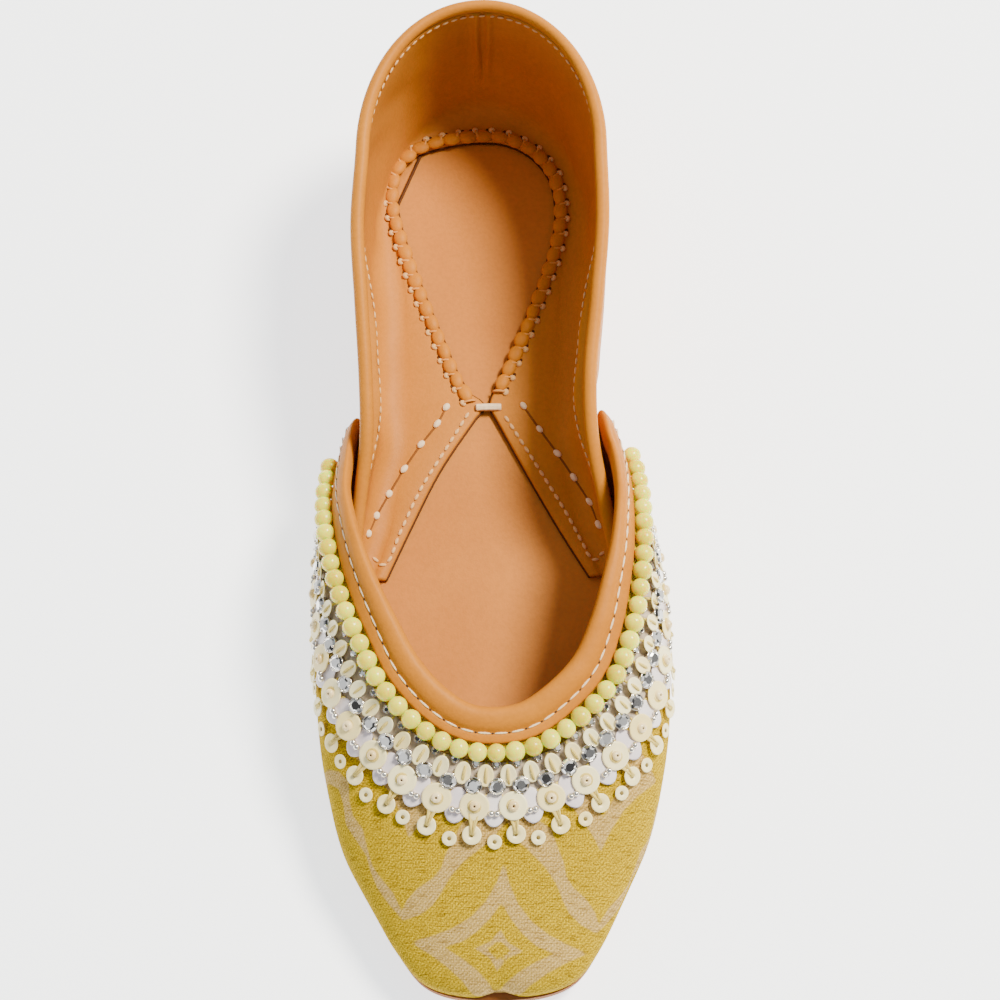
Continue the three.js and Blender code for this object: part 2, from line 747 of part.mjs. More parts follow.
// The strip of white fabric under the sequins, with a scalloped outer edge, and the large
// pearled discs sewn on it.
function applique() {
  const start = BINDING_REACH + BEAD_DIAMETER + 3 * GAP;
  const discAt = BINDING_REACH + DISC_TO_BINDING;
  const along = (u) => APPLIQUE_FROM + (1 - 2 * APPLIQUE_FROM) * u;
  let length = 0;
  for (let i = 1; i <= 200; i++)
    length += onVamp(along(i / 200), discAt).p.distanceTo(onVamp(along((i - 1) / 200), discAt).p);
  const count = Math.round(length / DISC_PITCH);
  const perScallop = 3;
  const fine = spaced((u) => [onVamp(along(u), discAt).p], count * perScallop).map(along);
  const rings = fine.map((t, i) => {
    const wave = Math.abs(Math.cos((Math.PI * i) / perScallop));
    const end = start + APPLIQUE_WIDTH - SCALLOP_DEPTH * (1 - wave);
    const stops = [0, 1, 2, 3, 4].map((k) => start + ((end - start) * k) / 4);
    const at = (distance, height) => {
      const { p, normal } = onVamp(t, distance);
      return p.addScaledVector(normal, height);
    };
    return [
      ...stops.map((d) => at(d, GAP)),
      ...stops.reverse().map((d) => at(d, GAP + APPLIQUE_THICKNESS)),
    ];
  });
  const sides = 7;
  const sunk = GAP + APPLIQUE_THICKNESS / 2;
  const face = GAP + APPLIQUE_THICKNESS + DISC_THICKNESS;
  const profile = [
    [0, sunk],
    [DISC_DIAMETER / 2, sunk],
    [DISC_DIAMETER / 2, face],
    [PEARL_DIAMETER / 2, face],
    [PEARL_DIAMETER * 0.42, face + PEARL_DIAMETER * 0.4],
    [0, face + PEARL_DIAMETER * 0.62],
  ].map(([x, y]) => new THREE.Vector2(x, y));
  const up = new THREE.Vector3(0, 1, 0);
  let whole = toManifold(loft(rings));
  for (let i = 0; i < count; i++) {
    const middle = (fine[i * perScallop] + fine[(i + 1) * perScallop]) / 2;
    const { p, normal } = onVamp(middle, discAt);
    const disc = new THREE.LatheGeometry(profile, sides);
    disc.applyQuaternion(new THREE.Quaternion().setFromUnitVectors(up, normal));
    disc.translate(p.x, p.y, p.z);
    whole = whole.add(toManifold(disc));
  }
  return toGeometry(whole);
}

// The bar of thread across the point where the flaps meet.
function flapBar() {
  const y = yAt(BAR_ALONG);
  const half = BAR_WIDTH / 2;
  const section = new THREE.Shape();
  section.moveTo(-half, 0);
  section.lineTo(half, 0);
  section.lineTo(half, BAR_HEIGHT * 0.5);
  section.lineTo(half * 0.5, BAR_HEIGHT);
  section.lineTo(-half * 0.5, BAR_HEIGHT);
  section.lineTo(-half, BAR_HEIGHT * 0.5);
  section.closePath();
  const bar = new THREE.ExtrudeGeometry(section, { depth: BAR_LENGTH, bevelEnabled: false });
  bar.rotateX(Math.PI / 2);
  bar.rotateZ(Math.PI / 2);
  bar.translate(-BAR_LENGTH / 2, y, flapTop(y) + GAP);
  return bar;
}

const MATERIALS = {
  leather: new THREE.MeshStandardMaterial({ color: 0xc98a4e, roughness: 0.55, metalness: 0 }),
  sole: new THREE.MeshStandardMaterial({ color: 0x9a6238, roughness: 0.7, metalness: 0 }),
  footbed: new THREE.MeshStandardMaterial({ color: 0xcf9560, roughness: 0.5, metalness: 0 }),
  fabric: new THREE.MeshStandardMaterial({ color: 0xd8b92c, roughness: 0.85, metalness: 0 }),
  bead: new THREE.MeshStandardMaterial({ color: 0xdde06a, roughness: 0.2, metalness: 0 }),
  sequin: new THREE.MeshStandardMaterial({ color: 0xe9e2bd, roughness: 0.35, metalness: 0 }),
  thread: new THREE.MeshStandardMaterial({ color: 0xe6c9a4, roughness: 0.8, metalness: 0 }),
};

const PIECES = [
  { name: "outsole", make: outsole, material: MATERIALS.sole },
  { name: "insole", make: insole, material: MATERIALS.footbed },
  { name: "quarter", make: quarter, material: MATERIALS.leather },
  { name: "quarter_rim", make: quarterRim, material: MATERIALS.leather },
  { name: "flap_bar", make: flapBar, material: MATERIALS.thread },
  { name: "vamp", make: vamp, material: MATERIALS.fabric },
  { name: "throat_binding", make: binding, material: MATERIALS.leather },
  { name: "bead_string", make: beadString, material: MATERIALS.bead },
  { name: "applique_band", make: applique, material: MATERIALS.sequin },
];

const shoe = new THREE.Group();
for (const { name, make, material } of PIECES) {
  const mesh = new THREE.Mesh(make(), material);
  mesh.name = name;
  shoe.add(mesh);
}

// The origin lies on the floor, under the middle of the whole shoe's bounding box.
const middle = new THREE.Box3().setFromObject(shoe).getCenter(new THREE.Vector3());
for (const mesh of shoe.children) mesh.geometry.translate(-middle.x, -middle.y, 0);

export default shoe;
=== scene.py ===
import math

import bpy
import numpy as np
from mathutils import Matrix, Vector
from mathutils.bvhtree import BVHTree


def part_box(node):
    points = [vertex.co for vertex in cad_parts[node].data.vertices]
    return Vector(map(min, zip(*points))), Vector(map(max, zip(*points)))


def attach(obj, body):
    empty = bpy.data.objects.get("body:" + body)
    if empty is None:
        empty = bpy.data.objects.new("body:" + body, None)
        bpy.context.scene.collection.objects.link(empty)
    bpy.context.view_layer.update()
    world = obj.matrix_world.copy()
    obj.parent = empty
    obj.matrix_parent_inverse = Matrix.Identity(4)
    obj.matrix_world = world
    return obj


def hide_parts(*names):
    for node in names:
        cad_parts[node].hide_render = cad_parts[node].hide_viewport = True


# An embroidered flat slip-on shoe. Lengths are in millimetres until a mesh is made.

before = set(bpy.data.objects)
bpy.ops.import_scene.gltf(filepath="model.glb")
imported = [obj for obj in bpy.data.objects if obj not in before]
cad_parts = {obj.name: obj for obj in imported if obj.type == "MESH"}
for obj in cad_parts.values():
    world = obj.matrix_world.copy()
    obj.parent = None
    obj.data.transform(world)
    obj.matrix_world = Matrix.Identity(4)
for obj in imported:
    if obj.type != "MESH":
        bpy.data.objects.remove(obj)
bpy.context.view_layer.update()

LENGTH = 254
BALL_WIDTH = 91
INSTEP_HEIGHT = 38.5
HEEL_HEIGHT = 63
GAP = 0.3
SOLE_THICKNESS = 4.5
SOLE_EDGE = 0.5
HEEL_LIFT = 3
TOE_SPRING = 4
INSOLE_THICKNESS = 2.6
QUARTER_WALL = 2.2
QUARTER_BULGE = 1.6
QUARTER_TUCK = 1.7
FLAP_THICKNESS = 1.5
FLAP_FILLET = 4.5
RIM_WIDTH = 3.6
RIM_DEPTH = 3.8
VAMP_WALL = 2
WIDEST_LEVEL = 16
TOE_LEVEL = 12
TOE_NOTCH_DEPTH = 1.8
TOE_NOTCH_WIDTH = 3.6
BINDING_REACH = 7
BEAD_DIAMETER = 4.6
SIDE_POWER = 2.3
FEATHER_SHARE = 0.958
FEATHER_DROP = 36
TOE_POWER = 8
TOE_DEPTH = 32
HEEL_DEPTH = 38
HEEL_LEAN = 4.2
HEEL_BREAST = 0.285
BREAST_SLOPE = 0.01
BALL_BACK = 0.56
BALL_FRONT = 0.78

# along, outer half width, inner half width, crown: shares of length, ball width and instep
LAST = np.array([
    (0.0, 0.341, 0.33, 1.7),
    (0.1, 0.349, 0.335, 1.7),
    (0.2, 0.365, 0.343, 1.7),
    (0.3, 0.363, 0.332, 1.7),
    (0.38, 0.372, 0.318, 1.69),
    (0.46, 0.434, 0.386, 1.64),
    (0.52, 0.472, 0.432, 1.545),
    (0.6, 0.494, 0.478, 1.38),
    (0.7, 0.503, 0.497, 1.117),
    (0.78, 0.477, 0.473, 0.915),
    (0.86, 0.424, 0.413, 0.735),
    (0.94, 0.307, 0.304, 0.58),
    (0.97, 0.264, 0.264, 0.52),
    (1.0, 0.245, 0.245, 0.46),
])
# along, outer, inner, height
RIM = np.array([
    (0.0, 0.354, 0.346, 1.0),
    (0.08, 0.351, 0.343, 0.975),
    (0.16, 0.36, 0.345, 0.93),
    (0.24, 0.377, 0.346, 0.875),
    (0.32, 0.368, 0.324, 0.815),
    (0.4, 0.358, 0.299, 0.745),
    (0.46, 0.359, 0.302, 0.67),
    (0.52, 0.384, 0.335, 0.555),
    (0.563, 0.4, 0.362, 0.47),
])
# wall station, along, outer, inner
FLAP_EDGE = np.array([
    (0.0, 0.06, 0.0, 0.0),
    (0.03, 0.07, 0.165, 0.12),
    (0.06, 0.088, 0.24, 0.18),
    (0.1, 0.118, 0.27, 0.215),
    (0.15, 0.16, 0.255, 0.205),
    (0.21, 0.215, 0.21, 0.17),
    (0.29, 0.29, 0.13, 0.1),
    (0.37, 0.365, 0.035, 0.012),
    (0.385, 0.378, 0.014, 0.004),
    (0.4, 0.392, 0.042, 0.022),
    (0.46, 0.45, 0.15, 0.105),
    (0.51, 0.51, 0.235, 0.195),
    (0.563, 0.566, 0.308, 0.285),
])
BAR_ALONG = 0.38
# along, outer, inner
THROAT = np.array([
    (0.42, 0.393, 0.338),
    (0.443, 0.407, 0.352),
    (0.472, 0.415, 0.366),
    (0.508, 0.418, 0.37),
    (0.543, 0.402, 0.363),
    (0.579, 0.376, 0.349),
    (0.618, 0.334, 0.322),
    (0.655, 0.283, 0.29),
    (0.6945, 0.222, 0.237),
    (0.7245, 0.146, 0.153),
    (0.741, 0.073, 0.076),
])
THROAT_POINT = 0.745


def y_at(along):
    return LENGTH * (0.5 - along)


def along_at(y):
    return 0.5 - y / LENGTH


def smoothstep(v, a, b):
    u = np.clip((v - a) / (b - a), 0, 1)
    return u * u * (3 - 2 * u)


def between(u, start, end, start_slope, end_slope):
    """A cubic from start to end, with a slope at each."""
    rise = u**2 * (3 - 2 * u)
    return start * (1 - rise) + end * rise + u * (1 - u) * (start_slope * (1 - u) - end_slope * u)


def unit(v):
    return v / np.maximum(np.linalg.norm(v, axis=-1, keepdims=True), 1e-12)


def run_along(line):
    """Length along a line of points, at each of them."""
    return np.concatenate([[0], np.cumsum(np.linalg.norm(np.diff(line, axis=0), axis=1))])


def column(rows, number, at):
    """One column of a table, read smoothly at places along its first column."""
    xs = rows[:, 0]
    ys = rows[:, number]
    last = len(xs) - 1
    t = np.clip(at, xs[0], xs[-1])
    i = np.clip(np.searchsorted(xs, t, side="left") - 1, 0, last - 1)
    before = np.maximum(np.arange(last + 1) - 1, 0)
    after = np.minimum(np.arange(last + 1) + 1, last)
    slope = (ys[after] - ys[before]) / (xs[after] - xs[before])
    span = xs[i + 1] - xs[i]
    return between((t - xs[i]) / span, ys[i], ys[i + 1], span * slope[i], span * slope[i + 1])


def sided(rows, side, at):
    return np.where(side < 0, column(rows, 1, at), column(rows, 2, at))


HEEL_SEAT = y_at(0) - HEEL_LEAN
TOE_TIP = y_at(1)


def widest(side, y):
    return BALL_WIDTH * sided(LAST, side, along_at(y))


def ends(y, grow):
    """How wide the sole still is where it rounds off at heel and toe, as a share."""
    heel = np.clip((y - (HEEL_SEAT - HEEL_DEPTH)) / (HEEL_DEPTH + grow), 0, 1)
    toe = np.clip((TOE_TIP + TOE_DEPTH - y) / (TOE_DEPTH + grow), 0, 1)
    return np.sqrt(1 - heel**2) * (1 - toe**TOE_POWER) ** (1 / SIDE_POWER)


def feather_half(side, y, grow=0.0):
    return (widest(side, y) * FEATHER_SHARE + grow) * ends(y, grow)


def toe_rise(y):
    return TOE_SPRING * np.clip((along_at(y) - BALL_FRONT) / (1 - BALL_FRONT), 0, 1) ** 2


def heel_rise(y):
    return HEEL_LIFT * (1 - smoothstep(along_at(y), HEEL_BREAST + 0.08, BALL_BACK))


def sole_bottom(y):
    return heel_rise(y) * smoothstep(along_at(y), HEEL_BREAST, HEEL_BREAST + BREAST_SLOPE) + toe_rise(y)


def sole_top(y):
    return SOLE_THICKNESS + heel_rise(y) + toe_rise(y)


def feather_level(y):
    return sole_top(y) + GAP


def insole_top(y):
    return feather_level(y) + INSOLE_THICKNESS


def flap_bottom(y):
    return insole_top(y) + GAP


def flap_top(y):
    return flap_bottom(y) + FLAP_THICKNESS


def widest_level(y):
    return WIDEST_LEVEL + (TOE_LEVEL - WIDEST_LEVEL) * smoothstep(along_at(y), 0.7, 1)


def crown_level(y):
    return INSTEP_HEIGHT * column(LAST, 3, along_at(y))


def last_field(p):
    """Below 0 inside the upper's outer surface, above 0 outside it."""
    x, y, z = p[..., 0], p[..., 1], p[..., 2]
    side = np.where(x < 0, -1, 1)
    wide = np.abs(x) / widest(side, y)
    level = widest_level(y)
    above = np.clip((z - level) / (crown_level(y) - level), 0, None) ** SIDE_POWER
    below = (np.clip(level - z, 0, None) / FEATHER_DROP) ** 2
    notch = TOE_NOTCH_DEPTH * np.exp(-((x / TOE_NOTCH_WIDTH) ** 2))
    toe = np.clip((TOE_TIP + TOE_DEPTH - y) / (TOE_DEPTH - notch), 0, None)
    return wide**SIDE_POWER + above + below + toe**TOE_POWER - 1


def field_slope(p):
    h = 0.02
    parts = []
    for axis in range(3):
        step = np.zeros(3)
        step[axis] = h
        parts.append((last_field(p + step) - last_field(p - step)) / (2 * h))
    return np.stack(parts, axis=-1)


def dot(a, b):
    return (a * b).sum(axis=-1, keepdims=True)


def onto_last(p, rounds=4):
    p = p.copy()
    for _ in range(rounds):
        slope = field_slope(p)
        p -= slope * (last_field(p) / (slope**2).sum(axis=-1))[..., None]
    return p, unit(field_slope(p))


CURVE_STEPS = 24


def smooth_curve(points, count=1200):
    """A centripetal Catmull-Rom curve through the points, read at even lengths."""
    p = np.asarray(points, float)
    p = np.vstack([2 * p[0] - p[1], p, 2 * p[-1] - p[-2]])
    out = []
    for i in range(1, len(p) - 2):
        a, b, c, d = p[i - 1], p[i], p[i + 1], p[i + 2]
        t1 = np.linalg.norm(b - a) ** 0.5
        t2 = np.linalg.norm(c - b) ** 0.5
        t3 = np.linalg.norm(d - c) ** 0.5
        m1 = (c - b) + ((b - a) / t1 - (c - a) / (t1 + t2)) * t2
        m2 = (c - b) + ((d - c) / t3 - (d - b) / (t2 + t3)) * t2
        u = np.linspace(0, 1, CURVE_STEPS, endpoint=False)[:, None]
        out.append(between(u, b, c, m1, m2))
    out.append(p[-2][None])
    out = np.vstack(out)
    run = run_along(out)
    goal = np.linspace(0, run[-1], count)
    return np.stack([np.interp(goal, run, out[:, k]) for k in range(out.shape[1])], axis=1)


throat_outer = np.stack([-BALL_WIDTH * THROAT[:, 1], y_at(THROAT[:, 0])], axis=1)
throat_inner = np.stack([BALL_WIDTH * THROAT[:, 2], y_at(THROAT[:, 0])], axis=1)[::-1]
THROAT_LINE = smooth_curve(np.vstack([throat_outer, [[0, y_at(THROAT_POINT)]], throat_inner]))


def throat_point(t):
    place = np.clip(t, 0, 1) * (len(THROAT_LINE) - 1)
    whole = np.arange(len(THROAT_LINE))
    x = np.interp(place, whole, THROAT_LINE[:, 0])
    y = np.interp(place, whole, THROAT_LINE[:, 1])
    level = widest_level(y)
    left = np.maximum(0.01, 1 - (np.abs(x) / widest(np.where(x < 0, -1, 1), y)) ** SIDE_POWER)
    return np.stack([x, y, level + (crown_level(y) - level) * left ** (1 / SIDE_POWER)], axis=-1)


RIB_COUNT = 641
MARCH = 0.5
MARCHES = 230


def march_ribs():
    """Walks over the upper from each point of the throat down to the sole."""
    t = np.linspace(0, 1, RIB_COUNT)
    p, normal = onto_last(throat_point(t), 8)
    along = unit(throat_point(t + 0.004) - throat_point(t - 0.004))
    heading = unit(np.cross(along, normal))
    heading *= np.where(heading[:, 2:] > 0, -1, 1)
    points = [p]
    normals = [normal]
    lengths = np.full(RIB_COUNT, np.nan)
    for k in range(1, MARCHES):
        before = points[-1]
        p, normal = onto_last(before + heading * MARCH, 3)
        heading = p - before
        heading = unit(heading - normal * dot(heading, normal))
        floor = feather_level(p[:, 1])
        landed = np.isnan(lengths) & (p[:, 2] <= floor)
        share = (before[:, 2] - floor) / np.maximum(before[:, 2] - p[:, 2], 1e-9)
        lengths = np.where(landed, (k - 1 + share) * MARCH, lengths)
        points.append(p)
        normals.append(normal)
        if not np.isnan(lengths).any():
            break
    return np.stack(points, axis=1), np.stack(normals, axis=1), lengths


RIB_POINTS, RIB_NORMALS, RIB_LENGTHS = march_ribs()


def on_vamp(t, distance):
    """Points of the vamp's skin and their normals, by place along the throat and distance from it."""
    t, distance = np.broadcast_arrays(np.asarray(t, float), np.asarray(distance, float))
    place = np.clip(t, 0, 1) * (RIB_COUNT - 1)
    i = np.clip(np.floor(place).astype(int), 0, RIB_COUNT - 2)
    a = (place - i)[..., None]
    steps = distance / MARCH
    k = np.clip(np.floor(steps).astype(int), 0, RIB_POINTS.shape[1] - 2)
    b = (steps - k)[..., None]

    def read(grid, share):
        low = grid[i, k] * (1 - share) + grid[i, k + 1] * share
        high = grid[i + 1, k] * (1 - share) + grid[i + 1, k + 1] * share
        return low * (1 - a) + high * a

    return read(RIB_POINTS, b), unit(read(RIB_NORMALS, np.clip(b, 0, 1)))


def rib_length(t):
    return np.interp(np.clip(t, 0, 1), np.linspace(0, 1, RIB_COUNT), RIB_LENGTHS)


MM = 1000  # millimetres in a metre

# Where the shoe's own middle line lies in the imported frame, read from the small bar on it.
bar_low, bar_high = np.array(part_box("flap_bar")) * MM
bar_middle = (bar_low + bar_high) / 2
SHIFT = np.array([bar_middle[0], bar_middle[1] - y_at(BAR_ALONG), 0.0])

random = np.random.default_rng(7)


# Mesh helpers. A shape is a pair: its points in millimetres, and its faces.


def make_piece(name, shape, material, slot, replaces=(), values=None, smooth=True):
    """Makes one mesh from a shape and rides it on the root body."""
    points, faces = shape
    mesh = bpy.data.meshes.new(name)
    mesh.from_pydata(((points + SHIFT) / MM).tolist(), [], faces)
    mesh.validate()
    for key, value in (values or {}).items():
        data = mesh.attributes.new(key, "FLOAT", "POINT")
        data.data.foreach_set("value", np.asarray(value, float))
    mesh.polygons.foreach_set("use_smooth", [smooth] * len(mesh.polygons))
    piece = bpy.data.objects.new(name, mesh)
    bpy.context.scene.collection.objects.link(piece)
    mesh.materials.append(material)
    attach(piece, "root")
    if replaces:
        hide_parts(*replaces)
    return piece


def grid_faces(rows, cols):
    """Quads between rows of points, each row closed on itself."""
    a = np.arange(rows - 1)[:, None] * cols + np.arange(cols)
    b = np.roll(a, -1, axis=1)
    return np.stack([a, b, b + cols, a + cols], axis=-1).reshape(-1, 4).tolist()


def loft(rings, flip=False):
    """A closed shape through rings of points."""
    rows, cols = rings.shape[:2]
    faces = grid_faces(rows, cols)
    faces.append(list(range(cols))[::-1])
    faces.append([(rows - 1) * cols + k for k in range(cols)])
    if flip:
        faces = [face[::-1] for face in faces]
    return rings.reshape(-1, 3), faces


def copies(shape, spots, frames, scales=1.0):
    """One small shape at many spots, as one shape. frames holds 3 x 3 axes as columns."""
    points, faces = shape
    scales = np.asarray(scales, float)
    if scales.ndim < 2:
        scales = np.broadcast_to(scales[..., None], (len(spots), 3))
    every = np.einsum("nij,nkj->nki", frames, points[None] * scales[:, None]) + spots[:, None]
    count = len(points)
    return every.reshape(-1, 3), [[i + k * count for i in face] for k in range(len(spots)) for face in faces]


def sow(name, shape, spots, frames, material, slot, scales=1.0, tint=None, **settings):
    """A piece of many copies of one small shape. tint is the least tint and the range above it."""
    values = None
    if tint:
        values = {"tint": tint[0] + tint[1] * np.repeat(random.uniform(0, 1, len(spots)), len(shape[0]))}
    return make_piece(name, copies(shape, spots, frames, scales), material, slot, values=values, **settings)


def ball(sides, rows):
    """A unit ball: two poles, with rings of points between them."""
    points = [(0, 0, 1)]
    for r in range(1, rows):
        a = math.pi * r / rows
        for k in range(sides):
            b = 2 * math.pi * k / sides
            points.append((math.sin(a) * math.cos(b), math.sin(a) * math.sin(b), math.cos(a)))
    points.append((0, 0, -1))
    last = len(points) - 1
    faces = [[0, 1 + k, 1 + (k + 1) % sides] for k in range(sides)]
    faces += [[1 + a, 1 + d, 1 + c, 1 + b] for a, b, c, d in grid_faces(rows - 1, sides)]
    faces += [[last, last - sides + (k + 1) % sides, last - sides + k] for k in range(sides)]
    return np.array(points), faces


def turned(profile, sides, oval=1.0):
    """A shape turned about z from (radius, height) pairs, top first; both ends are closed."""
    a = 2 * np.pi * np.arange(sides) / sides
    circle = np.column_stack([np.cos(a), np.sin(a) * oval, np.ones(sides)])
    points = np.vstack([circle * [radius, radius, height] for radius, height in profile])
    faces = [[a, d, c, b] for a, b, c, d in grid_faces(len(profile), sides)]
    faces.append(list(range(sides)))
    faces.append(list(range(len(points) - sides, len(points)))[::-1])
    return points, faces


def tube(path, radius, sides=8, flat=1.0):
    """A tube along a path. flat squashes it from above."""
    along = unit(np.gradient(path, axis=0))
    side = unit(np.cross(along, [0.0, 0.0, 1.0]))
    top = unit(np.cross(side, along))
    a = 2 * np.pi * np.arange(sides)[:, None] / sides
    return loft(path[:, None] + radius * (np.cos(a) * side[:, None] + flat * np.sin(a) * top[:, None]))


def split_facets(shape):
    """The same shape with its own corners for each face, so that a value can change from face to face."""
    points, faces = shape
    ends = np.cumsum([len(face) for face in faces]).tolist()
    own = [list(range(end - len(face), end)) for face, end in zip(faces, ends)]
    return np.array([points[i] for face in faces for i in face]), own


def joined(shapes):
    """Several shapes as one."""
    faces = []
    count = 0
    for points, own in shapes:
        faces += [[i + count for i in face] for face in own]
        count += len(points)
    return np.vstack([points for points, _ in shapes]), faces


def turn_axes(frames, angles, axis):
    """Turns each set of axes about one of its own axes."""
    i, j = (axis + 1) % 3, (axis + 2) % 3
    turn = np.zeros((len(angles), 3, 3))
    turn[:, axis, axis] = 1
    turn[:, i, i] = turn[:, j, j] = np.cos(angles)
    turn[:, j, i] = np.sin(angles)
    turn[:, i, j] = -turn[:, j, i]
    return frames @ turn


def spin(frames, low, high):
    """Turns each set of axes about its normal, at random."""
    return turn_axes(frames, random.uniform(low, high, len(frames)), 2)


def tilt(frames, low, high):
    """Tips each set of axes about its first axis, at random."""
    return turn_axes(frames, random.uniform(low, high, len(frames)), 0)


def bow(start, middle, end, count):
    """A bent line from start to end, drawn towards middle."""
    u = np.linspace(0, 1, count)[:, None]
    return start * (1 - u) ** 2 + middle * 2 * u * (1 - u) + end * u**2


# Places on the vamp

DRAWN_IN = 1.5  # how much closer to the throat the embroidery lies at its sides
DRAWN_FROM = 7  # distance from the throat where that is reached


def on_cloth(t, distance, upright=0.0):
    """A spot on the vamp for what is sewn to it, a little closer to the throat at its sides."""
    drawn_in = DRAWN_IN * smoothstep(np.abs(2 * np.asarray(t) - 1), 0.2, 0.7)
    spot, normal = on_vamp(t, distance - drawn_in * np.clip(np.asarray(distance) / DRAWN_FROM, 0, 1))
    return spot, unit(normal * (1 - upright) + np.array([0, 0, upright]))


def placed(t, distance, lift, upright=0.0):
    """Spots on the vamp, with axes: along the throat, away from it, and out of the skin."""
    step = 0.002
    spot, normal = on_cloth(t, distance, upright)
    ahead, _ = on_cloth(np.clip(t + step, 0, 1), distance)
    behind, _ = on_cloth(np.clip(t - step, 0, 1), distance)
    away = unit(np.cross(normal, unit(ahead - behind)))
    lift = np.broadcast_to(lift, len(spot))[:, None]
    return spot + normal * lift, np.stack([np.cross(away, normal), away, normal], axis=-1)


def lifted_line(distance, start, stop, lift, count):
    t = np.linspace(start, stop, count)
    line, normal = on_cloth(t, distance)
    return t, run_along(line + normal * lift)


def even(count, distance, start, stop, middle=True, lift=0.0):
    """Positions along the throat, evenly spaced at a distance from it."""
    t, run = lifted_line(distance, start, stop, lift, 1500)
    goal = (np.arange(count) + 0.5) / count if middle else np.linspace(0, 1, count)
    return np.interp(goal * run[-1], run, t)


def throat_length(distance, start, stop, lift=0.0):
    return lifted_line(distance, start, stop, lift, 800)[1][-1]


# Materials


class Look:
    """A material, with short ways to add nodes to it."""

    def __init__(self, name, roughness, **sockets):
        self.material = bpy.data.materials.new(name)
        self.material.use_nodes = True
        self.nodes = self.material.node_tree.nodes
        self.bsdf = self.nodes["Principled BSDF"]
        self.settle(self.bsdf, Roughness=roughness, **sockets)

    def put(self, socket, value):
        """Links a node's output to a socket, or sets the socket to a number or colour."""
        if isinstance(value, bpy.types.NodeSocket):
            self.material.node_tree.links.new(value, socket)
        elif socket.type == "RGBA":
            socket.default_value = (*value, 1)
        else:
            socket.default_value = value

    def settle(self, node, **settings):
        for key, value in settings.items():
            if hasattr(node, key):
                setattr(node, key, value)
            else:
                self.put(node.inputs[key.replace("_", " ")], value)
        return node

    def add(self, kind, **settings):
        return self.settle(self.nodes.new("ShaderNode" + kind), **settings)

    def place(self):
        return self.add("TexCoord").outputs["Object"]

    def noise(self, where, scale, detail, **settings):
        return self.add("TexNoise", Vector=where, Scale=scale, Detail=detail, **settings).outputs["Fac"]

    def stored(self, name):
        """A number kept in the mesh."""
        return self.add("Attribute", attribute_name=name).outputs["Fac"]

    def ramp(self, source, *stops):
        node = self.add("ValToRGB", Fac=source)
        elements = node.color_ramp.elements
        while len(elements) < len(stops):
            elements.new(0.5)
        for element, (position, color) in zip(elements, stops):
            element.position = position
            element.color = (*color, 1)
        return node.outputs["Color"]

    def mix(self, factor, first, second, mode="MIX"):
        node = self.add("Mix", data_type="RGBA", blend_type=mode, Factor=factor)
        self.put(node.inputs[6], first)
        self.put(node.inputs[7], second)
        return node.outputs[2]

    def math(self, operation, first, second):
        node = self.add("Math", operation=operation)
        self.put(node.inputs[0], first)
        self.put(node.inputs[1], second)
        return node.outputs[0]

    def finish(self, color, height, strength, distance):
        """Sets the colour, and a bump from a height."""
        self.put(self.bsdf.inputs["Base Color"], color)
        bump = self.add("Bump", Strength=strength, Distance=distance, Height=height)
        self.put(self.bsdf.inputs["Normal"], bump.outputs["Normal"])
        return self.material


def leather(name, light, dark, roughness=0.5, grain=0.25):
    """Smooth vegetable-tanned leather: cloudy colour, fine pores and faint wrinkles."""
    look = Look(name, roughness, Specular_IOR_Level=0.12)
    where = look.place()
    cloud = look.noise(where, 38.0, 4.0, Roughness=0.55)
    fleck = look.noise(where, 900.0, 3.0)
    shade = look.ramp(fleck, (0.35, (0.93, 0.93, 0.93)), (0.6, (1.0, 1.0, 1.0)))
    color = look.mix(1.0, look.ramp(cloud, (0.3, dark), (0.7, light)), shade, "MULTIPLY")
    pores = look.add("TexVoronoi", Scale=1700.0, Vector=where).outputs["Distance"]
    wrinkle = look.noise(where, 420.0, 5.0)
    return look.finish(color, look.math("ADD", pores, wrinkle), grain, 0.00012)


def thread(name, color):
    """Twisted thread, painted darker between its plies for the shade in the grooves between them."""
    look = Look(name, 0.65)
    ply = look.add("TexWave", Scale=900.0, Distortion=1.0, Vector=look.place()).outputs["Fac"]
    # The darker tone between the plies is painted shade.
    dark = tuple(0.75 * c for c in color)
    return look.finish(look.ramp(ply, (0.1, dark), (0.7, color)), ply, 0.5, 0.00015)


def tinted(name, first, second, roughness, noise=350.0, depth=0.3, **sockets):
    """A material whose colour runs between two shades by each copy's own tint and a fine noise."""
    look = Look(name, roughness, **sockets)
    grain = look.noise(look.place(), noise, 3.0)
    share = look.math("ADD", look.math("MULTIPLY", grain, depth), look.stored("tint"))
    return look.finish(look.mix(share, first, second), grain, 0.15, 0.0002)


# Colours of the cloth and of its print, from their dark specks to their pale ones.
YELLOWS = [(0.32, (0.30, 0.18, 0.0)), (0.5, (0.53, 0.35, 0.0)), (0.68, (0.84, 0.60, 0.004))]
BEIGES = [(0.32, (0.42, 0.27, 0.06)), (0.52, (0.60, 0.40, 0.12)), (0.7, (0.78, 0.57, 0.24))]


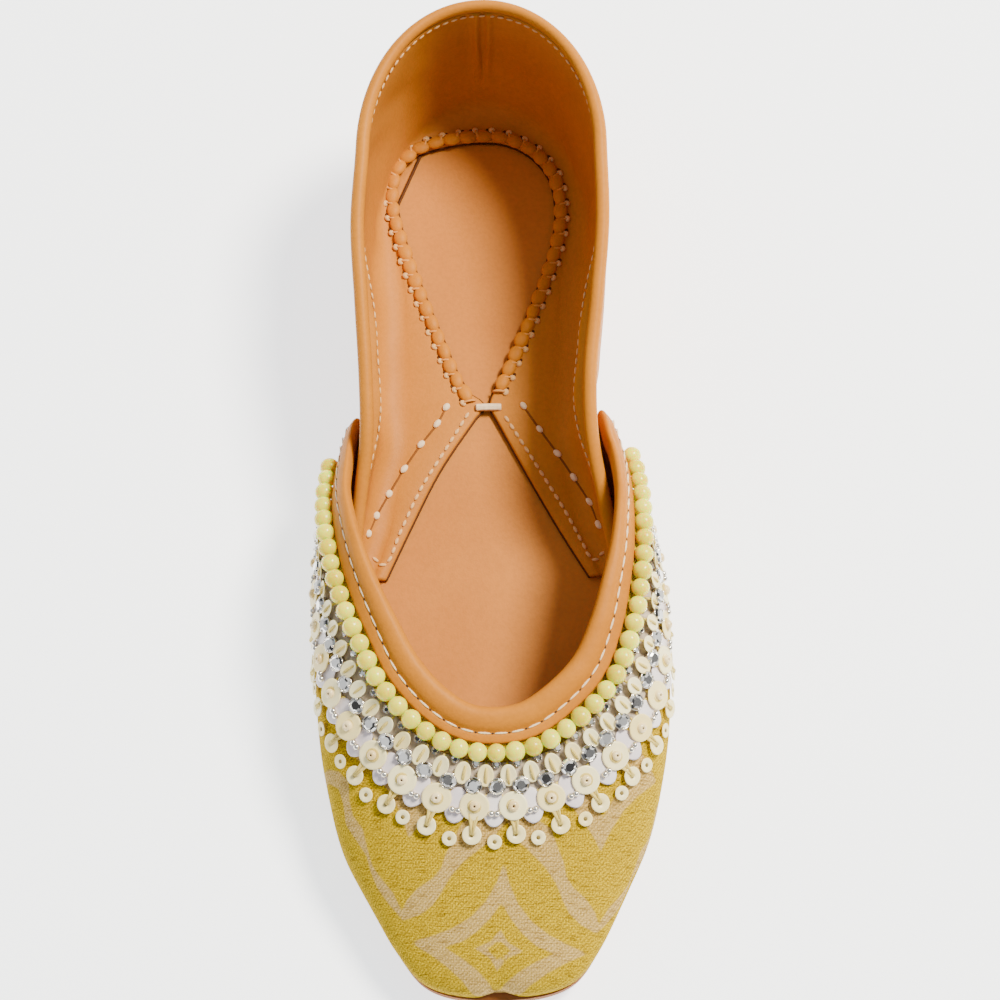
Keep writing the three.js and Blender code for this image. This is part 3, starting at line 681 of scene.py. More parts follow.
def printed_cloth():
    """Woven cotton with a printed pattern: the print follows the distance kept in "motif"."""
    look = Look("printed_cloth", 0.9, Specular_IOR_Level=0.08)
    uv = look.add("UVMap", uv_map="Cloth").outputs["UV"]

    def wave(direction, scale, distortion, **settings):
        settings |= {"wave_type": "BANDS", "bands_direction": direction, "Vector": uv}
        return look.add("TexWave", Scale=scale, Distortion=distortion, **settings).outputs["Fac"]

    warp = wave("X", 0.8, 0.6, Detail=1.0)
    weft = wave("Y", 0.8, 0.6, Detail=1.0)
    twill = look.math("MULTIPLY", wave("DIAGONAL", 0.5, 0.4), 0.5)
    weave = look.math("ADD", look.math("MULTIPLY", warp, weft), twill)
    stretched = look.add("Mapping", Scale=(0.25, 2.2, 1.0), Vector=uv).outputs["Vector"]
    slub = look.noise(stretched, 1.0, 3.0)
    speck = look.noise(uv, 2.6, 2.0)
    ragged = look.math("MULTIPLY", look.math("SUBTRACT", speck, 0.5), 0.9)
    edge = look.math("ADD", look.stored("motif"), ragged)
    inside = look.add("MapRange", From_Min=-0.2, From_Max=0.2, Value=edge).outputs["Result"]
    yellow = look.ramp(speck, *YELLOWS)
    beige = look.ramp(speck, *BEIGES)
    color = look.mix(inside, beige, yellow)
    fine = look.ramp(weave, (0.05, (0.62, 0.58, 0.50)), (0.9, (1.14, 1.13, 1.10)))
    color = look.mix(1.0, color, fine, "MULTIPLY")
    streak = look.ramp(slub, (0.36, (0.56, 0.52, 0.40)), (0.47, (1.0, 1.0, 1.0)))
    color = look.mix(0.85, color, streak, "MULTIPLY")
    height = look.math("ADD", weave, look.math("MULTIPLY", slub, 0.6))
    return look.finish(color, height, 0.6, 0.0002)


TAN = leather("tan_leather", (0.55, 0.195, 0.012), (0.48, 0.162, 0.009))
LINING = leather("lining_leather", (0.54, 0.195, 0.020), (0.47, 0.163, 0.014))
FOOTBED = leather("footbed_leather", (0.56, 0.20, 0.030), (0.50, 0.17, 0.024), 0.45, 0.15)
SOLE_LEATHER = leather("sole_leather", (0.34, 0.12, 0.03), (0.26, 0.09, 0.02), 0.6, 0.5)
PALE_LEATHER = leather("pale_leather", (0.68, 0.30, 0.075), (0.60, 0.25, 0.055))
# A dark leather tone for painted shade in the crease along the tie stitches.
CREASE_SHADE = leather("painted_crease_shade", (0.24, 0.08, 0.014), (0.17, 0.055, 0.01), 0.7)
# A near-black leather tone for painted shadow: under the flaps' free edge and in the holes of the puckered
# seam.
PAINTED_SHADOW = leather("painted_shadow_leather", (0.10, 0.032, 0.008), (0.06, 0.02, 0.006), 0.7)
KNOT_THREAD = thread("knot_thread", (0.80, 0.46, 0.17))
SEAM_THREAD = thread("seam_thread", (0.80, 0.46, 0.18))
WHITE_THREAD = thread("white_thread", (0.95, 0.72, 0.44))
YELLOW_THREAD = thread("yellow_thread", (0.80, 0.60, 0.14))
# A dark disc of painted shade in each sequin's hole.
EYE_SHADE = Look("sequin_eye_shade", 0.8, Base_Color=(0.22, 0.15, 0.03)).material
# Near-black balls and discs of painted shade, standing for the inside of holes.
HOLE_SHADE = Look("painted_hole_shade", 0.9, Base_Color=(0.04, 0.016, 0.006)).material
CLOTH = printed_cloth()
GLASS = {"Specular_IOR_Level": 0.35, "Subsurface_Weight": 1.0, "Subsurface_Scale": 0.003}
BEAD = tinted("lime_bead", (0.56, 0.46, 0.0), (0.82, 0.78, 0.07), 0.22, 420.0, 0.7, **GLASS)
SEQUIN = tinted("cream_sequin", (0.94, 0.73, 0.26), (1.0, 0.90, 0.50), 0.35, depth=0.25)
PEARL = tinted("pearl", (0.76, 0.53, 0.20), (0.95, 0.75, 0.40), 0.2, depth=0.2, Coat_Weight=0.4)
PETAL = tinted("lilac_petal", (0.70, 0.60, 0.62), (0.85, 0.78, 0.76), 0.5)
# The net's colour is partly its own tone and partly painted shade for the gaps between the sequins, petals
# and stones.
LACE = tinted("base_net", (0.20, 0.14, 0.09), (0.60, 0.50, 0.38), 0.8, 1400.0, 0.6)
SILVER = Look("silver_setting", 0.2, Metallic=1.0, Base_Color=(0.78, 0.72, 0.62)).material
CUT_GLASS = {"Coat_Weight": 0.6, "Metallic": 0.7}
# Cut glass whose facets carry painted reflections: each facet's tint runs from near black to white.
CRYSTAL_GLINTS = tinted("crystal_painted_glints", (0.02, 0.018, 0.016), (1.0, 0.98, 0.94), 0.08, depth=0.05, **CUT_GLASS)


# Sole and insole

SOLE_CORNER = 1.2
INSOLE_CORNER = 0.8
INSOLE_DIP = 0.25  # how far the footbed is trodden down in its middle


def end_stations(first, last, count):
    """Places from one end to the other, closer together at both."""
    u = np.linspace(0, 1, count)
    return first + (last - first) * (0.35 * u + 0.65 * (0.5 - 0.5 * np.cos(np.pi * u)))


def corner(count):
    return np.linspace(0, math.pi / 2, count)


def outsole():
    tip = 0.04
    ys = end_stations(HEEL_SEAT + SOLE_EDGE - tip, TOE_TIP - SOLE_EDGE + tip, 260)
    breast = y_at(np.linspace(HEEL_BREAST, HEEL_BREAST + BREAST_SLOPE, 6))
    ys = np.sort(np.concatenate([ys, breast]))[::-1]
    low, high = sole_bottom(ys), sole_top(ys)
    rings = []
    for sign in (-1, 1):
        half = feather_half(np.full_like(ys, sign), ys, SOLE_EDGE)
        c = np.minimum(SOLE_CORNER, 0.4 * half)
        side = [(half - c * (1 - math.sin(a)), low + c * (1 - math.cos(a))) for a in corner(5)]
        side.append((half + 0.12, (low + high) / 2))
        c = c * 0.35
        side += [(half - c * (1 - math.cos(a)), high - c * (1 - math.sin(a))) for a in corner(4)]
        rings.append([np.stack([sign * x, ys, z], axis=-1) for x, z in side])
    shape = loft(np.stack(rings[0][::-1] + rings[1], axis=1), flip=True)
    make_piece("sole_leather", shape, SOLE_LEATHER, "sole_leather", ["outsole"])


def insole():
    back = HEEL_SEAT - QUARTER_WALL - 2 * GAP
    alone = VAMP_WALL + 3 * GAP
    ys = end_stations(back, TOE_TIP + TOE_NOTCH_DEPTH + alone, 220)
    stack = np.maximum(tuck(ys) + QUARTER_WALL, VAMP_WALL) + 2 * GAP
    inset = stack + (alone - stack) * smoothstep(along_at(ys), 0.6, 0.66)
    low, high = feather_level(ys), insole_top(ys)
    left, right = [np.maximum(feather_half(np.full_like(ys, s), ys, -inset), 2) for s in (-1, 1)]
    c = INSOLE_CORNER
    row = [(-left, low), (-left, high - c)]
    row += [(-left + c * (1 - math.cos(a)), high - c * (1 - math.sin(a))) for a in corner(4)[1:]]
    for u in np.linspace(0, 1, 26)[1:-1]:
        dip = INSOLE_DIP * np.sin(np.pi * u) * smoothstep(ys, -110, -60)
        row.append((-left + c + (left + right - 2 * c) * u, high - dip))
    row += [(right - c * (1 - math.cos(a)), high - c * (1 - math.sin(a))) for a in corner(4)[:0:-1]]
    row += [(right, high - c), (right, low)]
    shape = loft(np.stack([np.stack([x, ys, z], axis=-1) for x, z in row], axis=1), flip=True)
    make_piece("footbed", shape, FOOTBED, "footbed_leather", ["insole"])


# Quarter

# Middle of the puckered seam round the opening, in the flap's plane.
BRAID = [
    (-5.4, 32.6), (-9.2, 39.5), (-12.4, 48), (-15.8, 57), (-19.3, 67), (-22.6, 77.5), (-25.3, 88),
    (-25.8, 96.5), (-23.8, 103.6), (-19, 108.7), (-11.5, 111.3), (-3, 112.6), (5, 112.2), (11, 109.8),
    (16, 105.6), (19.8, 99.2), (21.2, 91), (20.8, 83.4), (19, 75.4), (16.2, 67), (13, 58.5), (9.8, 50.5),
    (6.4, 42.5), (3.2, 35.5),
]
BRAID_TO_EDGE = 1.5
FACING_LEFT = 2.2  # how far the facing under the rim stands proud of the wall
FACING_RIGHT = 2.7
SOFT_FILLET = 1.7 * FLAP_FILLET
FLAP_CROWN = 0.35
# Folds beside the seam inside the heel: place across, width, height.
HEEL_FOLDS = [(-1.3, 0.8, 0.8), (1.7, 0.9, 0.65), (0.2, 0.8, -0.6), (-4.2, 2.0, -0.4), (5.0, 2.4, -0.3)]


def level_axes(xy):
    along = unit(np.column_stack([np.gradient(xy[:, 0]), np.gradient(xy[:, 1]), np.zeros(len(xy))]))
    up = np.tile([0.0, 0.0, 1.0], (len(xy), 1))
    return np.stack([along, np.cross(up, along), up], axis=-1)


def behind_vamp(y):
    return smoothstep(along_at(y), 0.36, 0.43)


def tuck(y):
    return (VAMP_WALL + QUARTER_TUCK) * behind_vamp(y)


def quarter_station(turn, back):
    """Place along the shoe, and closeness to its side, from -1 at the left front round to 1."""
    front = y_at(RIM[-1, 0])
    bend = HEEL_DEPTH * math.pi / 2
    straight = back - HEEL_DEPTH - front
    share = bend / (bend + straight)
    q = np.abs(turn)
    angle = np.minimum(q / share, 1) * math.pi / 2
    u = np.clip((q - share) / (1 - share), 0, 1)
    return back - HEEL_DEPTH * (1 - np.cos(angle)) - straight * u, np.where(q < share, np.sin(angle), 1.0)


def side_of(turn):
    return np.where(turn < 0, -1.0, 1.0)


def seat_line(turn):
    y, close = quarter_station(turn, HEEL_SEAT)
    half = widest(side_of(turn), y) * FEATHER_SHARE - tuck(y)
    return np.stack([side_of(turn) * half * close, y, feather_level(y)], axis=-1)


def rim_line(turn):
    y, close = quarter_station(turn, y_at(0) - RIM_WIDTH / 2)
    along = along_at(y)
    half = BALL_WIDTH * sided(RIM, side_of(turn), along) - QUARTER_WALL / 2
    top = HEEL_HEIGHT * column(RIM, 3, along)
    return np.stack([side_of(turn) * half * close, y, top - RIM_DEPTH / 2], axis=-1)


def level_out(turn, line):
    tangent = line(np.minimum(1, turn + 0.01)) - line(np.maximum(-1, turn - 0.01))
    return unit(np.stack([-tangent[:, 1], tangent[:, 0], np.zeros(len(turn))], axis=-1))


def flap_edge(turn):
    """The flap's inner edge, which runs just inside the puckered seam behind the bar."""
    y, _ = quarter_station(turn, y_at(0))
    wall = along_at(y)
    x = side_of(turn) * BALL_WIDTH * sided(FLAP_EDGE[:, [0, 2, 3]], side_of(turn), wall)
    edge = np.stack([x, y_at(column(FLAP_EDGE, 1, wall)), np.zeros(len(turn))], axis=-1)
    seam = smooth_curve(BRAID, 500)
    nearest = np.argmin(np.linalg.norm(edge[:, None, :2] - seam[None], axis=-1), axis=1)
    inside = np.column_stack([seam, np.zeros(len(seam))]) - level_axes(seam)[..., 1] * BRAID_TO_EDGE
    share = smoothstep(edge[:, 1], 32.5, 36)[:, None]
    return edge * (1 - share) + inside[nearest] * share


class Quarter:
    """The quarter's wall at many ribs, read by share of its height."""

    def __init__(self, turn):
        self.turn = turn
        self.seat = seat_line(turn)
        self.rim = rim_line(turn)
        self.seat_out = level_out(turn, seat_line)
        self.rim_out = level_out(turn, rim_line)
        self.top = self.rim[:, 2] - RIM_DEPTH / 2 - GAP
        y = self.seat[:, 1]
        self.bulge = QUARTER_BULGE * (1 - behind_vamp(y))
        self.edge = flap_edge(turn)
        # A facing under the rim stands a little proud of the wall towards the front.
        forward = (1 - smoothstep(y, 38, 72)) * smoothstep(y, -4, 22)
        self.facing = np.where(turn < 0, FACING_LEFT, FACING_RIGHT) * forward

    def outer(self, v):
        v = np.broadcast_to(v, len(self.turn))[:, None]
        out = unit(self.seat_out * (1 - v) + self.rim_out * v)
        top = self.rim + self.rim_out * QUARTER_WALL / 2
        p = self.seat * (1 - v) + top * v + out * self.bulge[:, None] * np.sin(np.pi * v) ** 1.5
        p[:, 2] = self.seat[:, 2] * (1 - v[:, 0]) + self.top * v[:, 0]
        return p, out

    def inner(self, v):
        p, out = self.outer(v)
        depth = (1 - v) * (self.top - self.seat[:, 2])
        proud = self.facing * smoothstep(depth, 0.2, 3.0) * (1 - smoothstep(depth, 4, 26))
        return p - out * (QUARTER_WALL + proud)[:, None]

    def share(self, z):
        return (z - self.seat[:, 2]) / (self.top - self.seat[:, 2])


def at_level(p, z):
    return np.column_stack([p[:, :2], z])


def quarter():
    q = Quarter(np.linspace(-1, 1, 560))
    top = flap_top(q.seat[:, 1])
    under = flap_bottom(q.seat[:, 1])
    edge_top = at_level(q.edge, flap_top(q.edge[:, 1]))
    edge_under = at_level(q.edge, flap_bottom(q.edge[:, 1]))
    foot = q.inner(q.share(top))
    reach = edge_top - foot
    length = np.linalg.norm(reach, axis=1)
    fillet = np.minimum(SOFT_FILLET, length * 0.6)
    flat = foot + unit(reach) * fillet[:, None]
    rise = q.inner(q.share(top + fillet))
    ring = [q.outer(v)[0] for v in np.linspace(1, 0, 22)]
    ring += [q.inner(0.0), q.inner(q.share(under))]
    ring += [ring[-1] + (edge_under - ring[-1]) * s for s in (0.35, 0.7)]
    into = unit((flat - edge_top) * [1, 1, 0])
    half = FLAP_THICKNESS / 2
    for a in np.linspace(-math.pi / 2, math.pi / 2, 7):
        ring.append(edge_under + into * half * (1 - math.cos(a)) + [0, 0, half * (1 + math.sin(a))])
    start = ring[-1]
    for s in np.linspace(0, 1, 15)[1:]:
        p = start + (flat - start) * s
        p[:, 2] += FLAP_CROWN * np.sin(math.pi * s) ** 0.7 * np.minimum(1, length / 8)
        ring.append(p)
    before_wall = len(ring)
    ring += [flat * (1 - s) ** 2 + foot * 2 * s * (1 - s) + rise * s**2 for s in np.linspace(0, 1, 11)[1:]]
    v0 = q.share(top + fillet)
    ring += [q.inner(v0 + (1 - v0) * (1 - s**1.6)) for s in 1 - np.linspace(0, 1, 30)[1:]]
    rings = np.stack(ring, axis=1)
    soften_wall(rings[:, before_wall:])
    points, faces = loft(rings)
    make_piece("quarter_leather", (points, faces), LINING, "upper_leather", ["quarter"])
    return BVHTree.FromPolygons(points.tolist(), faces)


def soften_wall(wall):
    """Gives the wall's inside a soft seam at the heel with faint hollows beside it, and slight waves."""
    x, y, z = wall[..., 0], wall[..., 1], wall[..., 2]
    heel = np.exp(-((y - 122) / 14) ** 2) * smoothstep(z, 20, 40)
    fold = sum(height * np.exp(-((x - place) / width) ** 2) for place, width, height in HEEL_FOLDS)
    wall[..., 1] -= fold * heel
    wall[..., 0] -= np.sign(x) * 0.18 * np.sin(wall[..., 1] * 0.33 + 2.2 * np.sin(z * 0.16))


def quarter_rim():
    turn = np.linspace(-1, 1, 420)
    a = 2 * np.pi * np.arange(20) / 20
    slim = 1 - 0.16 * (1 - smoothstep(np.abs(turn), 0.1, 0.35))
    out = level_out(turn, rim_line) * slim[:, None]
    rings = rim_line(turn)[:, None] + (np.cos(a) * RIM_WIDTH / 2)[:, None] * out[:, None]
    rings[..., 2] += np.sin(a) * RIM_DEPTH / 2
    make_piece("rim_roll", loft(rings), TAN, "upper_leather", ["quarter_rim"])


# Vamp

# The print, charted on the cloth in millimetres: across from its middle line, and down towards
# the toe. Each shape is drawn for one half and mirrored.
STAR_OUTER = [
    (0, 36), (1.5, 41), (4, 46), (7.5, 50), (12, 53), (17, 55), (22.5, 56.5), (17, 59.5), (12.5, 62.5),
    (8.5, 66), (5, 71), (2, 76), (0, 80),
]
STAR_INNER = [
    (0, 46), (2.5, 50), (5.5, 53.3), (9, 56), (13.5, 57.6), (8.6, 60.4), (5, 63), (2, 66), (0, 69),
]
RING_OUTER = [(0, 52.5), (2, 55.6), (6, 57.6), (2, 59.8), (0, 63)]
RING_INNER = [(0, 55.3), (3, 57.6), (0, 60.2)]
BAND = [
    (3.5, 31), (6, 33), (10, 36.5), (13, 40.5), (15, 44.5), (17, 47.5), (20, 49.8), (24.5, 51.4),
    (28.5, 47.5), (32, 43.5), (34, 39.5), (35.3, 35.5), (38, 32), (42, 27.5), (43, 22.5), (45, 18.5),
    (50, 16.5), (50, 13), (45, 14.2), (41.5, 17), (41, 21.5), (39.5, 25.5), (36.3, 29), (34.6, 35),
    (33.5, 38), (31, 41), (27.6, 44.5), (25, 49), (23.8, 46.5), (21, 43.5), (17.3, 41), (15.4, 38.5),
    (14.6, 35), (13.2, 32), (11, 27), (2, 22), (0, 26),
]
SIDE_STAR = [
    (24, 31.5), (26.2, 26), (29.3, 20.5), (33.5, 16), (40, 11), (34, 5), (30, -4), (18, -4), (14, 6), (8, 13),
    (15, 20), (18.5, 24), (21.8, 28),
]
SIDE_STAR_INNER = [(24, 23), (27, 17), (32, 11), (24, 0), (16, 11), (21, 17)]
PRINT_TURN = math.radians(4.6)
PRINT_MIDDLE = 57.0
PRINT_REPEAT = 50.0


def cloth_place(p):
    """Where a point of the vamp lies on its cloth: across and along, measured over the skin."""
    ys = np.linspace(20, TOE_TIP, 2500)
    toe = np.clip((TOE_TIP + TOE_DEPTH - ys) / TOE_DEPTH, 0, 1)
    flat_toe = np.maximum(0, 1 - toe**TOE_POWER) ** (1 / SIDE_POWER)
    crown = widest_level(ys) + (crown_level(ys) - widest_level(ys)) * flat_toe
    run = run_along(np.column_stack([ys, crown]))
    start = np.interp(-y_at(THROAT_POINT), -ys, run)
    x, y, z = p[..., 0], p[..., 1], p[..., 2]
    side = np.where(x < 0, -1, 1)
    half = widest(side, y)
    level = widest_level(y)
    tallness = crown_level(y) - level
    wide = np.minimum(np.abs(x) / half, 1) ** SIDE_POWER
    tall = np.clip((z - level) / tallness, 0, None) ** SIDE_POWER
    total = np.minimum(wide + tall, 1)
    angle = np.arctan2(np.sqrt(wide), np.sqrt(tall)) * np.linspace(0, 1, 25).reshape(-1, *[1] * x.ndim)
    over = half * (total * np.sin(angle) ** 2) ** (1 / SIDE_POWER)
    up = tallness * (total * np.cos(angle) ** 2) ** (1 / SIDE_POWER)
    across = np.clip(level - z, 0, None) + np.hypot(np.diff(over, axis=0), np.diff(up, axis=0)).sum(axis=0)
    return side * across, np.interp(-y, -ys, run) - start


def polygon_distance(x, y, corners):
    """Signed distance to a polygon, below 0 inside."""
    corners = np.asarray(corners, float)
    nearest = np.full(x.shape, 1e9)
    inside = np.zeros(x.shape, bool)
    for (ax, ay), (bx, by) in zip(corners, np.roll(corners, -1, axis=0)):
        dx, dy = bx - ax, by - ay
        t = np.clip(((x - ax) * dx + (y - ay) * dy) / (dx * dx + dy * dy + 1e-12), 0, 1)
        nearest = np.minimum(nearest, np.hypot(x - ax - t * dx, y - ay - t * dy))
        crosses = (ay > y) != (by > y)
        inside ^= crosses & (x < ax + (y - ay) / (dy or 1e-9) * dx)
    return np.where(inside, -nearest, nearest)


def mirrored(half):
    return half + [(-a, b) for a, b in half[::-1] if a > 0]


def print_distance(across, along):
    """Signed distance to the print's pale shapes."""
    c, s = math.cos(PRINT_TURN), math.sin(PRINT_TURN)
    x = np.abs(across * c + (along - PRINT_MIDDLE) * s)
    y = -across * s + (along - PRINT_MIDDLE) * c + PRINT_MIDDLE
    x = np.where(x > PRINT_REPEAT, 2 * PRINT_REPEAT - x, x)

    def hollow(outline, hole):
        return np.maximum(polygon_distance(x, y, outline), -polygon_distance(x, y, hole))

    star = hollow(mirrored(STAR_OUTER), mirrored(STAR_INNER))
    ring = hollow(mirrored(RING_OUTER), mirrored(RING_INNER))
    side = hollow(SIDE_STAR, SIDE_STAR_INNER)
    return np.minimum.reduce([star, ring, side, polygon_distance(x, y, BAND)])


def vamp():
    ribs, rows, inner_rows = 380, 104, 26
    t = even(ribs, 22.0, 0.0, 1.0, middle=False)[:, None]
    length = rib_length(t)
    share = np.linspace(0, 1, rows)
    outer, normal = on_vamp(t, length * share)
    depth, into = on_vamp(t, length * np.linspace(1, 0, inner_rows))
    into = into.copy()
    into[:, 0, 2] = 0
    inner = depth - unit(into) * VAMP_WALL
    # Slight dents and swells where the cloth is drawn over its lining.
    soft = 0.16 * np.sin(outer[..., 0] * 0.19 + 1.3) * np.sin(outer[..., 1] * 0.21 + 0.6)
    hem = smoothstep(length * (1 - share), 0, 6)
    outer = outer + normal * (soft * hem * smoothstep(share, 0.35, 0.6))[..., None]
    rings = np.concatenate([outer, inner], axis=1)
    across, along = cloth_place(rings)
    motif = {"motif": print_distance(across.ravel(), along.ravel())}
    mesh = make_piece("vamp_cloth", loft(rings), CLOTH, "printed_fabric", ["vamp"], motif).data
    corners = np.empty(len(mesh.loops), dtype=np.int32)
    mesh.loops.foreach_get("vertex_index", corners)
    place = np.stack([across.ravel(), along.ravel()], axis=1)
    mesh.uv_layers.new(name="Cloth").data.foreach_set("uv", place[corners].ravel())
    mesh.materials.append(LINING)
    lined = np.zeros(len(mesh.polygons), dtype=np.int32)
    lined[: (ribs - 1) * (rows + inner_rows)] = np.tile(np.arange(rows + inner_rows) >= rows, ribs - 1)
    mesh.polygons.foreach_set("material_index", lined)


# Binding

# The section's outer face: distance from the throat's edge, and height over the cloth.
BINDING_OUTSIDE = [
    (7.0, 0.32), (7.08, 0.8), (6.8, 1.22), (6.0, 1.34), (5.0, 1.3), (4.55, 1.12), (4.2, 1.34), (3.4, 1.95),
    (2.3, 2.28), (1.1, 2.34), (-0.1, 2.14), (-1.2, 1.55), (-1.95, 0.5), (-2.25, -0.8), (-2.05, -2.0),
    (-1.3, -2.95), (0.0, -3.45), (2.3, -3.5),
]
BINDING_INSIDE = [(2.3, -2.3), (-0.3, -2.3), (-0.3, 0.3), (3.5, 0.3)]
BINDING_UPRIGHT = 0.6
BINDING_RIBS = 520
GROOVE_PLACE = 4.55
GROOVE_SHIFT = 2.1  # how much nearer the throat the groove lies at the sides
TRIM_PITCH = 1.3
STEADY_RIBS = 7
TIP_LENGTH = 4.5
STITCH_LINE = 3.4
STITCH_ENDS = (0.004, 0.996)
STITCH_PITCH = 4.0
# Length, width and height of a stitch, and of the dark ball of painted shade for the hole between two.
BINDING_STITCH = (3.5, 0.56, 0.392)
BINDING_HOLE = (0.75, 0.66, 0.462)
# How much the roll broadens inwards towards its two ends.
CLOSER_LEFT = 1.5
CLOSER_RIGHT = 1.9


def binding_place(t, distance, height):
    """A point of the binding's section, with the groove nearer the throat at the sides."""
    side = smoothstep(np.abs(2 * t - 1), 0.15, 0.7)
    groove = GROOVE_PLACE - GROOVE_SHIFT * side
    roll = np.maximum(distance, 0) * groove / GROOVE_PLACE + np.minimum(distance, 0)
    strip = groove + (distance - GROOVE_PLACE) * (BINDING_REACH - groove) / (BINDING_REACH - GROOVE_PLACE)
    left = 0.9 * (1 - smoothstep(t, 0.15, 0.35)) * (1 - np.clip(distance / BINDING_REACH, 0, 1))
    place = np.where(distance < GROOVE_PLACE, roll, strip) - left
    spot, normal = on_cloth(t, place, BINDING_UPRIGHT)
    low = np.where((distance < 4.2) & (height > 0), 1 - 0.22 * side, 1.0)
    return spot + normal * (height * low)[:, None], place


def binding():
    t = even(BINDING_RIBS, 3.5, 0.0, 1.0, middle=False)
    section = np.vstack([smooth_curve(BINDING_OUTSIDE, 46), BINDING_INSIDE])
    rings = []
    run = np.arange(BINDING_RIBS) * throat_length(7.0, 0, 1) / BINDING_RIBS
    middle_part = smoothstep(np.minimum(run, run[::-1]), 9, 14)
    for distance, height in section:
        trim = 0.09 * np.abs(np.sin(run * math.pi / TRIM_PITCH)) * middle_part if distance > 6.5 else 0.0
        swell = 0.06 * np.sin(run * 0.55) * np.sin(run * 0.17 + 1) if height > 1.6 else 0.0
        rings.append(binding_place(t, distance + trim, height + swell)[0])
    rings = shape_ends(np.stack(rings, axis=1), t, section)
    make_piece("binding_roll", loft(rings), TAN, "upper_leather", ["throat_binding"])


def shape_ends(rings, t, section):
    """Broadens the roll inwards where it comes close to the rim, and rounds its two ends."""
    # The last few ribs at each end carry their neighbour's section straight on.
    for line in (rings, rings[::-1]):
        step = (line[STEADY_RIBS] - line[STEADY_RIBS + 1]).mean(axis=0)
        line[:STEADY_RIBS] = line[STEADY_RIBS] + step * np.arange(STEADY_RIBS, 0, -1)[:, None, None]
    number = np.arange(BINDING_RIBS)
    ends = np.minimum(number, number[::-1]) * throat_length(3.5, 0, 1) / BINDING_RIBS
    near_end = smoothstep(ends, -4, 4) * (1 - smoothstep(ends, 5, 34))
    closer = np.where(t < 0.5, CLOSER_LEFT, CLOSER_RIGHT) * near_end
    inwards = unit((rings[:, 30] - rings[:, 4]) * [1, 1, 0])
    inner_part = np.clip((4.5 - section[:, 0]) / 5, 0, 1)
    rings = rings + (inwards * closer[:, None])[:, None] * inner_part[:, None]
    # Each end narrows to a rounded tip on the inner side, where it goes behind the rim.
    width = np.sqrt(1 - (1 - np.clip(ends / TIP_LENGTH, 0.004, 1)) ** 2)[:, None, None]
    tip = rings[:, 28:29] * 0.5 + rings[:, 38:39] * 0.5
    return tip + (rings - tip) * width


def stitch_row(name, spots, axes, size, material):
    """A row of rounded stitches, of one length, width and height."""
    sow(name, ball(8, 6), spots, axes, material, "thread", np.tile(np.array(size) / 2, (len(spots), 1)))


def binding_stitches():
    def row(count, middle, height):
        t = even(count, STITCH_LINE, *STITCH_ENDS, middle=middle)
        place = binding_place(t, np.full(len(t), GROOVE_PLACE), np.full(len(t), height))[1]
        return placed(t, place, height, BINDING_UPRIGHT)

    count = round(throat_length(STITCH_LINE, *STITCH_ENDS) / STITCH_PITCH)
    stitch_row("binding_stitches", *row(count, True, 1.26), BINDING_STITCH, WHITE_THREAD)
    # Dark balls of painted shade for the needle holes between the stitches.
    stitch_row("binding_hole_shades", *row(count + 1, False, 1.1), BINDING_HOLE, HOLE_SHADE)


# Embroidery round the throat

BEADS_FROM = 0.036
BEAD_PITCH = 4.7
BEAD_RADIUS = 2.4
BEAD_UPRIGHT = 0.35
APPLIQUE_FROM = 0.09
DISC_PITCH = 9.4
DISC_LINE = BINDING_REACH + 15.4
SMALL_DISC_LINE = DISC_LINE + 7.0
PETAL_PITCH = 5.55
PETAL_LINE = BINDING_REACH + 7.6
PETAL_ENDS = (0.07, 0.93)
STONE_LINE = BINDING_REACH + 10.4
SMALL_STONE_LINE = PETAL_LINE - 2.7

# Small turned shapes, as radius and height from the top down.
LILAC = [(0.3, 0.34), (1.8, 0.26), (2.7, 0.2), (2.95, 0.1), (2.8, 0.0), (0.3, 0.0)]
LARGE_DISC = [
    (1.2, 0.62), (1.6, 0.58), (2.6, 0.5), (3.2, 0.56), (3.55, 0.5), (3.62, 0.36), (3.5, 0.22), (1.5, 0.1),
]
DOME = [(0.28, 0.95), (0.3, 1.2), (0.62, 1.32), (1.02, 1.12), (1.24, 0.78), (1.3, 0.4), (1.15, 0.0)]
DOME_HOLE = [(0.28, 0.05), (0.28, 0.0)]
COLLAR = [(1.35, 0.16), (1.62, 0.2), (1.8, 0.1), (1.8, 0.0), (1.35, 0.0)]
SMALL_DISC = [
    (0.62, 0.18), (0.7, 0.38), (1.5, 0.34), (2.1, 0.46), (2.42, 0.4), (2.4, 0.24), (2.1, 0.1), (0.62, 0.05),
]
DISC_EYE = [(0.5, 0.06), (0.5, 0.0)]
SEQUIN_PETAL = [
    (0.3, 0.42), (0.8, 0.44), (1.4, 0.5), (1.8, 0.62), (2.0, 0.6), (2.02, 0.45), (1.7, 0.25), (0.5, 0.1),
]
CUT_STONE = [(1.05, 0.95), (1.5, 0.72), (1.95, 0.3), (1.9, 0.1), (0.3, -0.9)]
STONE_CUP = [(1.75, -0.1), (1.95, 0.32), (2.16, 0.42), (2.2, 0.1), (2.0, -0.9), (0.4, -1.1)]
# Painted reflections: the brightness each facet of a stone is given, from dark to glinting.
FACET_GLINTS = [0.0, 0.15, 0.5, 0.85, 1.0]


